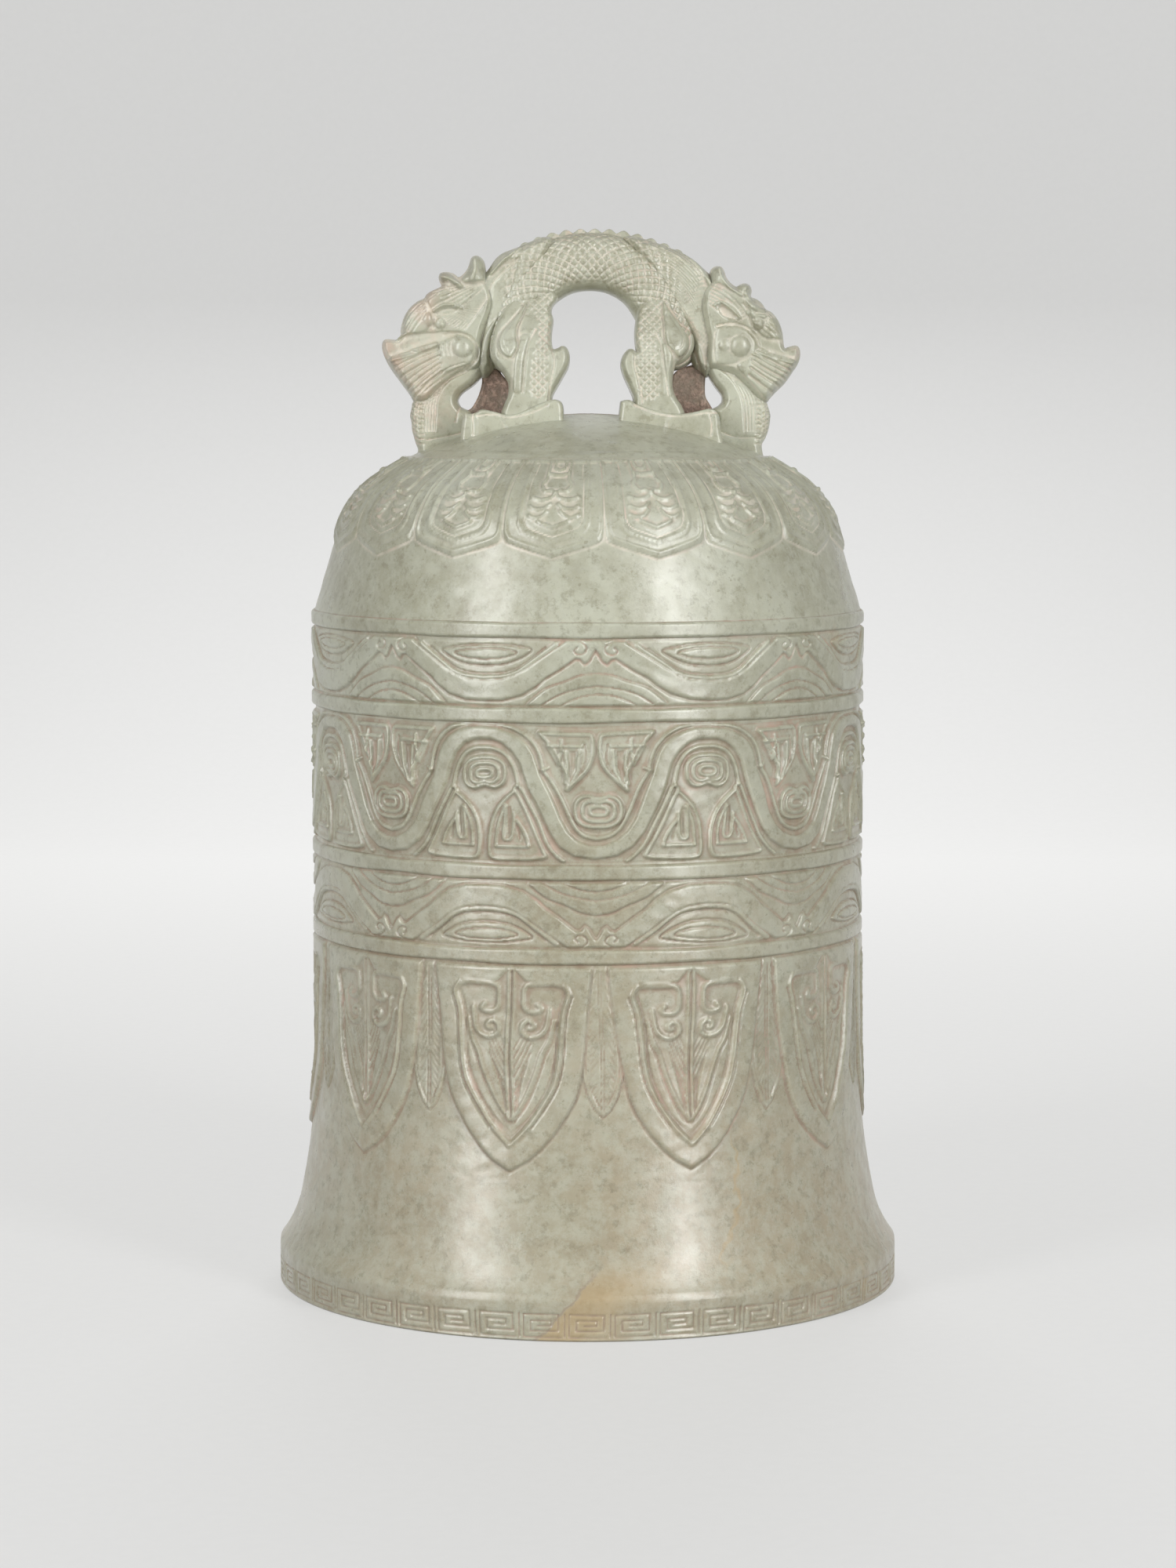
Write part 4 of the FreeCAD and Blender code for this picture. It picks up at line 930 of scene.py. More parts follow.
LEG_RIGHT = [(470, 420), (396, 520), (352, 590), (338, 680), (332, 760), (338, 840), (346, 884),
             (334, 880), (312, 866), (286, 870), (262, 896), (244, 940), (242, 985), (258, 1040),
             (286, 1104), (310, 1158), (324, 1200), (318, 1260), (300, 1400), (480, 1420),
             (650, 1330), (640, 1250), (606, 1196), (586, 1150), (577, 1090), (584, 1030),
             (606, 960), (650, 916), (682, 870), (690, 820), (680, 780), (650, 730), (624, 680),
             (590, 600), (570, 500)]
TUFT_RIGHT = [(520, 536), (560, 600), (610, 670), (660, 740), (688, 800), (688, 850),
              (664, 900), (620, 934), (590, 905), (556, 868), (530, 820), (522, 760), (520, 690),
              (510, 610)]
FOOT_RIGHT = [(238, 1250), (254, 1218), (300, 1214), (340, 1240), (420, 1268), (520, 1296),
              (620, 1304), (720, 1292), (800, 1272), (846, 1276), (880, 1316), (888, 1400),
              (884, 1560), (560, 1580), (250, 1480)]

HEAD = [(752, 420), (738, 336), (728, 270), (712, 242), (680, 227), (648, 238), (634, 272),
        (620, 312), (592, 350), (562, 370), (538, 352), (508, 340), (470, 336), (440, 348),
        (429, 374), (438, 402), (448, 430), (418, 446), (378, 466), (348, 488), (334, 512),
        (290, 532), (242, 574), (206, 626), (187, 680), (178, 730), (182, 762), (170, 776),
        (160, 792), (148, 788), (120, 784), (84, 782), (60, 800), (57, 845), (72, 900),
        (98, 952), (130, 1002), (168, 1054), (204, 1104), (238, 1152), (268, 1198), (350, 1200),
        (440, 1110), (540, 1030), (640, 1000), (710, 960), (720, 880), (712, 800), (740, 700),
        (775, 600), (780, 500)]
NECK = [(716, 350), (750, 320), (800, 245), (851, 203), (946, 165), (1028, 129), (1109, 98),
        (1180, 110), (1170, 220), (1100, 330), (1010, 440), (950, 560), (880, 640), (836, 720), (812, 800),
        (806, 880), (800, 960), (770, 1010), (724, 1040), (660, 985), (620, 900), (610, 800),
        (620, 700), (640, 540), (680, 420)]
CHIN_LEG = [(300, 1130), (256, 1200), (248, 1238), (238, 1290), (246, 1332), (250, 1384), (262, 1432),
            (274, 1474), (290, 1520), (300, 1620), (660, 1600), (676, 1420), (650, 1290),
            (620, 1254), (592, 1244), (566, 1226), (554, 1200), (560, 1168), (590, 1130),
            (650, 1088), (694, 1044), (716, 1010), (716, 950), (620, 960), (500, 1000), (390, 1060)]
WEB = [(700, 960), (790, 950), (850, 1020), (910, 1090), (920, 1150), (890, 1230), (820, 1300),
       (640, 1330), (606, 1262), (640, 1236), (664, 1200), (688, 1150), (706, 1092), (712, 1040)]

HEAD_RIGHT = [(786, 470), (828, 400), (828, 342), (842, 310), (874, 297), (904, 304), (922, 336),
              (936, 374), (964, 410), (1000, 432), (1024, 418), (1060, 412), (1090, 428),
              (1102, 462), (1096, 500), (1132, 516), (1170, 546), (1194, 584), (1230, 602),
              (1264, 640), (1290, 692), (1305, 742), (1310, 790), (1320, 842), (1350, 834),
              (1390, 824), (1416, 842), (1422, 892), (1408, 944), (1380, 988), (1344, 1042),
              (1312, 1082), (1270, 1122), (1232, 1164), (1198, 1200), (1130, 1180),
              (1060, 1100), (990, 1030), (900, 1000), (820, 980), (800, 900), (806, 800),
              (790, 700), (770, 580)]
NECK_RIGHT = [(314, 90), (395, 109), (501, 143), (586, 176), (648, 206), (730, 258), (806, 325), (866, 380),
              (910, 460), (930, 560), (930, 760), (920, 900), (880, 980), (806, 1030), (770, 1000),
              (720, 960), (700, 880), (712, 800), (660, 700), (590, 600), (520, 480), (420, 330),
              (330, 220), (260, 110)]
CHIN_LEG_RIGHT = [(1150, 1130), (1200, 1196), (1216, 1240), (1228, 1284), (1224, 1340), (1214, 1392),
                  (1196, 1440), (1172, 1490), (1160, 1620), (860, 1600), (850, 1400),
                  (860, 1300), (846, 1250), (884, 1226), (910, 1196), (905, 1152), (876, 1112),
                  (846, 1070), (822, 1026), (810, 980), (860, 940), (980, 990), (1080, 1060)]
WEB_RIGHT = [(764, 940), (800, 970), (797, 1090), (802, 1160), (828, 1206), (852, 1262),
             (820, 1320), (680, 1310), (610, 1250), (566, 1160), (560, 1090), (590, 1010),
             (650, 965)]


def distance_along(u, v, line, reach):
    """The nearest place on a line: how far along it, and how far off to its left."""
    best = np.full(u.shape, float(reach) ** 2)
    along, off = np.zeros(u.shape), np.full(u.shape, float(reach))
    done = 0.0
    for (ax, ay), (bx, by) in zip(line[:-1], line[1:]):
        dx, dy = bx - ax, by - ay
        size = math.hypot(dx, dy)
        t = np.clip(((u - ax) * dx + (v - ay) * dy) / size**2, 0, 1)
        far = (u - ax - t * dx) ** 2 + (v - ay - t * dy) ** 2
        near = far < best
        best[near] = far[near]
        along[near] = (done + t * size)[near]
        side = np.sign((dx * (v - ay) - dy * (u - ax))[near])
        off[near] = side * np.sqrt(far[near])
        done += size
    return along, off


def lattice(along, around, spacing):
    """The scales' crossing cuts, from 0 between them to 1 at a line."""
    out = 0
    for lean in (0.62, -0.62):
        at = (along + lean * around * 1.6) / spacing
        gap = np.abs(at - np.round(at)) * spacing
        out = np.maximum(out, 1 - smoothstep(0.08, 0.40, gap))
    return out


def carve_arch(bell):
    """The body between the two heads, scaled over its back, with the crest's teeth."""
    pitch = mm("dragon_pitch")
    thick, deep = BODY_THICK, BODY_DEEP
    x = np.arange(-28, 28, pitch)
    z = np.arange(222, 258.2, pitch)
    y = np.arange(-deep - 1, deep + 1 + pitch, pitch)
    u, v = np.meshgrid(x, z, indexing="ij")
    spine = curved(SPINE, 6)
    along, off = distance_along(u, v, spine, 14.0)
    middle = float(distance_along(np.zeros(1), np.full(1, 250.0), spine, 14.0)[0][0])
    foot = curved(CREST_FOOT, 6)
    run, rise = distance_along(u, v, foot, 8.0)
    valley = distance_along(np.zeros(1), np.full(1, 256.0), foot, 8.0)[0][0]
    tooth = (run - valley) / TOOTH_PITCH
    toothed = (tooth > -TEETH_LEFT) & (tooth < TEETH_RIGHT)
    lift = np.where(toothed, np.abs(np.sin(np.pi * tooth)) ** 1.3, -9)
    lift *= 1 - 0.3 * ((tooth - 1) / 6) ** 2
    field = np.empty((len(x), len(y), len(z)), dtype=np.float32)
    for j, place in enumerate(y):
        across, round_y = off / thick, place / deep
        size = (np.abs(across) ** BODY_SQUARE + abs(round_y) ** BODY_SQUARE) ** (1 / BODY_SQUARE)
        body = (size - 1) * thick
        around = np.arctan2(off, abs(place) + 1e-6) * thick
        cuts = lattice(along - middle, around, SCALE_PITCH)
        back = smoothstep(-6.0, -3.0, around) * smoothstep(7.9, 7.3, off + 0.9)
        body = body + 0.32 * cuts * back
        crest = np.maximum(rise - lift + 0.1, np.abs(place) - 1.3 + 0.3 * rise)
        crest = np.maximum(crest, -4.5 - rise)
        field[:, j, :] = np.minimum(body, crest)
    for axis in range(3):
        for end in (0, -1):
            edge = [slice(None)] * 3
            edge[axis] = end
            field[tuple(edge)] = np.maximum(field[tuple(edge)], pitch)
    points, faces = surface(field)
    cells = np.clip(points.round().astype(int), 0, np.array(field.shape) - 1)
    points = points * pitch + [x[0], y[0], z[0]]
    along, off = along[cells[:, 0], cells[:, 2]], off[cells[:, 0], cells[:, 2]]
    around = np.arctan2(off, np.abs(points[:, 1]) + 1e-6) * thick
    cuts = lattice(along - middle, around, SCALE_PITCH) * smoothstep(-6.0, -3.0, around)
    add_piece("dragon_body", points, faces, ("dragon_trunk", "back_crest"), cuts)


def nape(slab):
    """Rounds a neck on from the body it joins, with the body's last scales on it, and
    lets its inner edge dive under it."""
    spine = curved([(-20.5, 212.0)] + SPINE + [(21.0, 212.0)], 6)
    along, off = distance_along(slab.u, slab.v, spine, 16.0)
    share = np.clip(1 - (np.abs(off) / BODY_THICK) ** BODY_SQUARE, 0, 1) ** (1 / BODY_SQUARE)
    outer = BODY_DEEP - 0.2 - NAPE_FALL * smoothstep(0.0, 9.0, off)
    slab.h = np.where(off > 0, outer, BODY_DEEP * share - 0.2)
    scaled = 1 - smoothstep(17.0, 23.0, np.abs(slab.u))
    slab.h -= 0.32 * scaled * lattice(along, off, SCALE_PITCH)
    return slab


def dress_leg(slab, right):
    """A haunch with its flame tuft, a sinew, lozenge scales and a clawed spur."""
    if right:
        slab.raise_to(TUFT_RIGHT, slab.half - 0.4, 0.5, 0.7, 1.8)
        slab.cut(TUFT_RIGHT + TUFT_RIGHT[:1], 0.6, 0.6)
        slab.cut([(560, 640), (610, 720), (645, 790), (636, 860), (600, 880)], 0.5, 0.25)
        slab.cut([(466, 760), (500, 840), (516, 940), (530, 1040), (548, 1180)], 0.6, 0.5)
        slab.bead([(540, 860), (548, 940), (548, 1040), (556, 1160)], 2.0, 0.45)
        slab.cut([(330, 900), (330, 980), (350, 1060), (372, 1150), (380, 1230)], 0.6, 0.45)
        slab.cut([(420, 560), (470, 610), (520, 640)], 0.4, 0.2)
        lattice_box = [(380, 500), (560, 520), (540, 700), (480, 800), (500, 1000), (490, 1200),
                       (360, 1210), (340, 1060), (320, 900), (350, 700)]
    else:
        slab.raise_to(TUFT, slab.half - 0.4, 0.5, 0.7, 1.8)
        slab.cut(TUFT + TUFT[:1], 0.6, 0.6)
        slab.cut([(990, 590), (930, 680), (870, 760), (856, 830), (890, 900)], 0.5, 0.25)
        slab.cut([(1070, 740), (1026, 830), (1008, 920), (996, 1040), (984, 1160)], 0.6, 0.5)
        slab.bead([(1000, 800), (972, 900), (958, 1000), (950, 1140)], 2.0, 0.45)
        slab.cut([(1175, 880), (1192, 960), (1180, 1040), (1160, 1140), (1150, 1230)], 0.6, 0.45)
        slab.cut([(1130, 560), (1060, 600), (1000, 640)], 0.4, 0.2)
        lattice_box = [(900, 470), (1160, 470), (1180, 560), (1170, 840), (1160, 960),
                       (1140, 1180), (1030, 1190), (1040, 960), (1080, 760), (1040, 620),
                       (930, 560)]
    box = curved(drawn(lattice_box, slab.side), 3, True)
    inside = smoothstep(0, 0.6, depth_inside(slab.u, slab.v, box))
    slab.h -= 0.36 * inside * lattice(slab.v, slab.u, 1.95)


def carve_legs(bell):
    for right in (False, True):
        side = RIGHT_SIDE if right else 0
        for face in ("front", "rear"):
            rear = 1 if face == "rear" else -1
            hand = "right" if right else "left"
            leg = Slab(LEG_RIGHT if right else LEG, 5.4, 3.6, side, level=4.5)
            dress_leg(leg, right)
            plane = (LEG_PLANE[0], [-p for p in LEG_PLANE[1]])
            leg.solid(f"{face}_{hand}_haunch", bell, [f"{face}_{hand}_leg"], (rear, plane))
            foot = Slab(FOOT_RIGHT if right else FOOT, 5.6, 1.3, side)
            if right:
                foot.cut([(330, 1250), (470, 1306), (640, 1326), (800, 1300), (860, 1300)], 0.7, 0.4)
                foot.cut([(815, 1300), (830, 1380), (826, 1450)], 0.6, 0.35)
                foot.raise_to([(560, 1330), (800, 1320), (800, 1480), (560, 1480)], 5.3, 1.4)
            else:
                foot.cut([(690, 1320), (800, 1312), (900, 1332), (1040, 1300), (1150, 1250)],
                         0.7, 0.4)
                foot.cut([(660, 1310), (664, 1380), (662, 1450)], 0.6, 0.35)
                foot.raise_to([(700, 1330), (860, 1345), (860, 1500), (700, 1500)], 5.3, 1.4)
            plane = (FOOT_PLANE[0], [-p for p in FOOT_PLANE[1]])
            foot.solid(f"{face}_{hand}_paw", bell, [f"{face}_{hand}_foot"], (rear, plane))


def carve_left_head(bell):
    head = Slab(HEAD, 9.4, 5.2, level=6.4)
    head.raise_to([(183, 726), (198, 622), (235, 549), (329, 507), (352, 560), (372, 640),
                   (380, 720), (300, 770), (230, 780)], 7.2, 0.9, 1.5, 2.6)
    head.ball((360, 660), 1.7, 9.1)
    head.ball((444, 688), 1.4, 8.6)
    head.raise_to([(352, 548), (400, 500), (470, 462), (520, 470), (500, 520), (430, 560),
                   (380, 590)], 7.4, 0.7, 0.8, 1.2)
    head.raise_to([(430, 350), (470, 340), (520, 360), (590, 440), (560, 460), (500, 410),
                   (470, 420), (440, 400)], 7.9, 0.7, 0.9, 1.2)
    head.raise_to([(640, 250), (690, 232), (722, 270), (747, 392), (700, 420), (640, 430),
                   (580, 400), (620, 330)], 7.6, 0.7, 1.0, 1.6)
    head.bead([(444, 380), (500, 392), (585, 440)], 0.9, 0.6)
    head.bead([(660, 270), (668, 330), (650, 400)], 1.1, 0.6)
    eye = [(424, 622), (462, 596), (516, 590), (548, 604), (508, 622), (460, 634)]
    head.raise_to(eye, 6.9, 0.4, 0.5, 0.7)
    head.cut(eye + eye[:1], 0.4, 0.5)
    head.bead([(400, 606), (450, 572), (520, 562), (580, 586)], 0.8, 0.6)
    head.cut([(340, 520), (366, 570), (392, 640), (396, 716)], 0.6, 0.6)
    head.strands([(444, 674), (560, 600), (680, 500), (770, 400)],
                 [(600, 730), (660, 650), (720, 570), (790, 470)], 9, 0.46, 0.46)
    head.strands([(400, 480), (500, 450), (600, 430), (740, 400)],
                 [(560, 590), (620, 540), (690, 480), (760, 420)], 7, 0.46, 0.42)
    head.strands([(200, 700), (240, 630), (300, 570), (345, 540)],
                 [(250, 760), (290, 700), (330, 650), (362, 600)], 4, 0.46, 0.38)
    head.strands([(420, 365), (470, 372), (520, 400)], [(360, 470), (420, 450), (480, 440)],
                 3, 0.4, 0.3)
    head.raise_to([(200, 775), (277, 762), (444, 752), (548, 756), (470, 790), (300, 840),
                   (180, 870), (150, 820)], 5.5, 0.8)
    head.cut([(214, 772), (277, 760), (400, 752), (520, 748), (600, 764), (650, 800)], 0.5, 0.6)
    head.raise_to([(60, 800), (84, 784), (150, 792), (180, 850), (250, 868), (290, 884),
                   (180, 915), (120, 930), (80, 900), (62, 850)], 6.6, 0.7, 0.7, 1.6)
    head.bead([(165, 790), (190, 772), (220, 780)], 1.4, 1.0)
    beard = [(120, 925), (200, 905), (290, 880), (380, 840), (470, 800), (570, 775), (640, 800),
             (668, 870), (650, 940), (590, 985), (500, 1010), (420, 1060), (350, 1130),
             (262, 1192), (204, 1104), (130, 1002), (98, 952)]
    head.raise_to(beard, 7.6, 0.8, 0.9, 2.2)
    head.ball((588, 856), 2.9, 9.4)
    head.bead([(118, 928), (210, 898), (300, 866), (413, 826)], 1.3, 0.9)
    for start, middle, end in (
        ((146, 980), (300, 905), (430, 852)), ((186, 1046), (320, 965), (440, 905)),
        ((236, 1118), (340, 1030), (446, 955)), ((272, 1180), (360, 1090), (452, 1010)),
    ):
        head.cut([start, middle, end], 0.7, 0.75)
    for start, middle, end in (
        ((162, 1008), (300, 930), (423, 878)), ((214, 1082), (330, 995), (434, 930)),
        ((252, 1150), (350, 1060), (444, 985)),
    ):
        head.cut([start, middle, end], 0.5, 0.5)
    for x in (440, 468, 496, 524):
        head.cut([(x, 800), (x - 8, 850), (x + 4, 905)], 0.4, 0.3)
    head.cut([(470, 764), (560, 752), (640, 780), (684, 850), (676, 930), (610, 990)], 0.8, 0.9)
    head.strands([(300, 1120), (400, 1050), (500, 985), (600, 950)],
                 [(420, 1180), (490, 1110), (570, 1040), (660, 990)], 4, 0.45, 0.35)
    head.solid("left_dragon_head", bell, ["left_head", "left_horns", "left_beard"])
    neck = nape(Slab(NECK, 8.2, 6.4))
    neck.bead([(780, 350), (860, 260), (970, 170)], 0.9, 0.6)
    neck.strands([(720, 560), (800, 400), (960, 250)], [(700, 900), (740, 740), (880, 560)],
                 15, 0.55, 0.42)
    neck.strands([(735, 420), (790, 350), (900, 260)], [(720, 560), (800, 400), (960, 250)],
                 5, 0.5, 0.35)
    neck.cut([(780, 1000), (762, 880), (790, 760), (850, 640), (900, 580)], 0.8, 0.8)
    neck.solid("left_mane_strands", bell, ["left_mane"])
    chin = Slab(CHIN_LEG, 6.8, 3.6, level=6.2)
    dress_chin_leg(chin, 0)
    chin.solid("left_chin_leg", bell, ["left_chest"])
    web = Slab(WEB, 2.6, 0.8)
    web.raw[:] = 1
    web.solid("left_recess_wall", bell, [], rough=1.0)


def dress_chin_leg(chin, side):
    """Locks that run down to hatched scales along the outer edge."""
    if side:
        chin.strands([(850, 960), (960, 1040), (1040, 1180), (1060, 1400)],
                     [(1100, 1080), (1170, 1160), (1200, 1250), (1190, 1400)], 8, 0.5, 0.4)
        for i in range(9):
            z = 1190 + 32 * i
            chin.cut([(1212, z), (1170, z + 34), (1130, z + 40)], 0.45, 0.35)
            chin.cut([(1140, z), (1180, z + 26), (1216, z + 44)], 0.4, 0.25)
        chin.cut([(890, 1400), (1000, 1440), (1130, 1440)], 0.5, 0.4)
    else:
        chin.strands([(620, 1000), (500, 1060), (420, 1180), (400, 1400)],
                     [(400, 1080), (320, 1150), (280, 1240), (270, 1400)], 8, 0.5, 0.45)
        chin.cut([(600, 1180), (560, 1260), (540, 1340)], 0.5, 0.3)
        for i in range(9):
            z = 1190 + 32 * i
            chin.cut([(246, z), (290, z + 34), (330, z + 40)], 0.45, 0.35)
            chin.cut([(320, z), (280, z + 26), (244, z + 44)], 0.4, 0.25)
        chin.cut([(620, 1400), (500, 1430), (350, 1460)], 0.5, 0.4)


def carve_right_head(bell):
    side = RIGHT_SIDE
    head = Slab(HEAD_RIGHT, 9.4, 5.2, side, level=6.6)
    head.raise_to([(1300, 780), (1306, 730), (1280, 660), (1230, 606), (1160, 560), (1090, 500),
                   (1000, 450), (900, 440), (880, 520), (960, 560), (1040, 610), (1080, 690),
                   (1140, 760), (1230, 800)], 7.4, 1.0, 0.9, 3.0)
    head.ball((1240, 700), 2.6, 8.8)
    head.ball((1140, 690), 1.6, 9.1)
    head.ball((1100, 600), 1.3, 8.8)
    head.raise_to([(1000, 440), (1040, 420), (1090, 436), (1096, 500), (1130, 560), (1060, 520)],
                  7.9, 0.7, 0.7, 1.2)
    head.raise_to([(832, 350), (876, 300), (912, 330), (950, 420), (1010, 480), (960, 480),
                   (890, 430), (840, 420)], 7.8, 0.7, 0.8, 1.6)
    head.bead([(886, 320), (906, 390), (960, 450), (1030, 500)], 0.9, 0.6)
    head.bead([(1060, 500), (1090, 560), (1140, 596), (1180, 600)], 1.3, 0.8)
    head.bead([(1070, 620), (1120, 640), (1180, 640)], 1.0, 0.6)
    head.cut([(1040, 560), (1080, 610), (1090, 680), (1150, 760)], 0.6, 0.6)
    eye = [(884, 590), (910, 574), (950, 602), (990, 650), (950, 648), (912, 626)]
    head.raise_to(eye, 6.9, 0.4, 0.4, 0.8)
    head.cut(eye + eye[:1], 0.45, 0.5)
    head.bead([(856, 566), (900, 548), (966, 590), (1020, 650)], 0.8, 0.6)
    head.strands([(830, 440), (900, 470), (990, 540), (1070, 640)],
                 [(820, 560), (870, 600), (940, 660), (1010, 690)], 6, 0.42, 0.32)
    head.strands([(1120, 640), (1180, 670), (1230, 710), (1280, 770)],
                 [(1100, 720), (1140, 750), (1180, 780), (1230, 800)], 4, 0.42, 0.32)
    head.strands([(1190, 596), (1240, 640), (1270, 700), (1290, 760)],
                 [(1130, 600), (1180, 640), (1220, 700), (1250, 760)], 4, 0.4, 0.26)
    head.raise_to([(1090, 750), (1200, 790), (1300, 800), (1330, 850), (1330, 900),
                   (1220, 870), (1130, 820)], 5.6, 0.9)
    head.raise_to([(1210, 880), (1300, 900), (1330, 860), (1390, 830), (1414, 850), (1418, 890),
                   (1380, 940), (1300, 930), (1210, 890)], 6.6, 0.7, 0.7, 1.6)
    beard = [(1370, 945), (1280, 925), (1190, 890), (1100, 890), (1020, 930), (1000, 980),
             (1080, 1060), (1150, 1140), (1200, 1190), (1270, 1122), (1344, 1042), (1384, 984)]
    head.raise_to(beard, 7.6, 1.0, 0.9, 2.6)
    cheek = [(870, 720), (960, 705), (1060, 730), (1130, 800), (1120, 880), (1060, 930),
             (960, 960), (870, 950), (850, 850)]
    head.raise_to(cheek, 7.6, 0.8, 0.8, 2.5)
    head.ball((1020, 840), 3.2, 9.4)
    head.ball((922, 835), 2.1, 8.9)
    head.cut([(868, 705), (960, 692), (1064, 716), (1136, 790), (1150, 850)], 0.7, 0.7)
    head.bead([(1372, 944), (1290, 922), (1200, 898), (1120, 890)], 1.3, 0.8)
    for start, middle, end in (
        ((1350, 1000), (1230, 940), (1120, 880)), ((1316, 1056), (1210, 1000), (1100, 930)),
        ((1280, 1104), (1190, 1050), (1090, 980)), ((1240, 1150), (1170, 1100), (1080, 1030)),
    ):
        head.cut([start, middle, end], 0.7, 0.75)
    for start, middle, end in (
        ((1362, 972), (1240, 915), (1130, 856)), ((1334, 1028), (1220, 970), (1110, 906)),
        ((1298, 1080), (1200, 1026), (1096, 956)),
    ):
        head.cut([start, middle, end], 0.5, 0.5)
    head.solid("right_dragon_head", bell, ["right_head", "right_horns", "right_beard"])
    neck = nape(Slab(NECK_RIGHT, 8.2, 6.4, side))
    neck.strands([(430, 110), (620, 200), (760, 330), (840, 500)],
                 [(520, 460), (640, 580), (740, 760), (800, 980)], 17, 0.55, 0.42)
    neck.bead([(600, 180), (690, 230), (770, 320), (820, 420)], 1.1, 0.5)
    neck.cut([(760, 1000), (740, 900), (700, 800), (640, 700), (560, 580)], 0.8, 0.8)
    neck.solid("right_mane_strands", bell, ["right_mane"])
    chin = Slab(CHIN_LEG_RIGHT, 6.8, 3.6, side, level=6.2)
    dress_chin_leg(chin, side)
    chin.solid("right_chin_leg", bell, ["right_chest"])
    web = Slab(WEB_RIGHT, 2.6, 0.8, side)
    web.raw[:] = 1
    web.solid("right_recess_wall", bell, [], rough=1.0)


# The stone

class Recipe:
    """Short hands for laying out a material's nodes."""

    def __init__(self, name):
        self.material = bpy.data.materials.new(name)
        self.material.use_nodes = True
        self.tree = self.material.node_tree
        self.tree.nodes.clear()

    def node(self, kind, settings=None, **inputs):
        node = self.tree.nodes.new(kind)
        for key, value in (settings or {}).items():
            setattr(node, key, value)
        for key, value in inputs.items():
            socket = node.inputs[key.replace("_", " ")] if not key.startswith("i_") else (
                node.inputs[int(key[2:])])
            if isinstance(value, bpy.types.NodeSocket):
                self.tree.links.new(value, socket)
            else:
                socket.default_value = value
        return node

    def noise(self, place, scale, detail=3.0, roughness=0.5, distortion=0.0):
        return self.node("ShaderNodeTexNoise", Vector=place, Scale=scale, Detail=detail,
                         Roughness=roughness, Distortion=distortion).outputs["Fac"]

    def between(self, value, low, high, to_low=0.0, to_high=1.0):
        node = self.node("ShaderNodeMapRange", {"interpolation_type": "SMOOTHSTEP"},
                         Value=value, From_Min=low, From_Max=high, To_Min=to_low, To_Max=to_high)
        return node.outputs["Result"]

    def sum(self, operation, a, b=0.0, c=None):
        inputs = {"i_0": a, "i_1": b}
        if c is not None:
            inputs["i_2"] = c
        return self.node("ShaderNodeMath", {"operation": operation}, **inputs).outputs[0]

    def blend(self, share, below, above, kind="MIX"):
        node = self.node("ShaderNodeMix", {"data_type": "RGBA", "blend_type": kind})
        for index, value in ((0, share), (6, below), (7, above)):
            if isinstance(value, bpy.types.NodeSocket):
                self.tree.links.new(value, node.inputs[index])
            else:
                node.inputs[index].default_value = value
        return node.outputs[2]


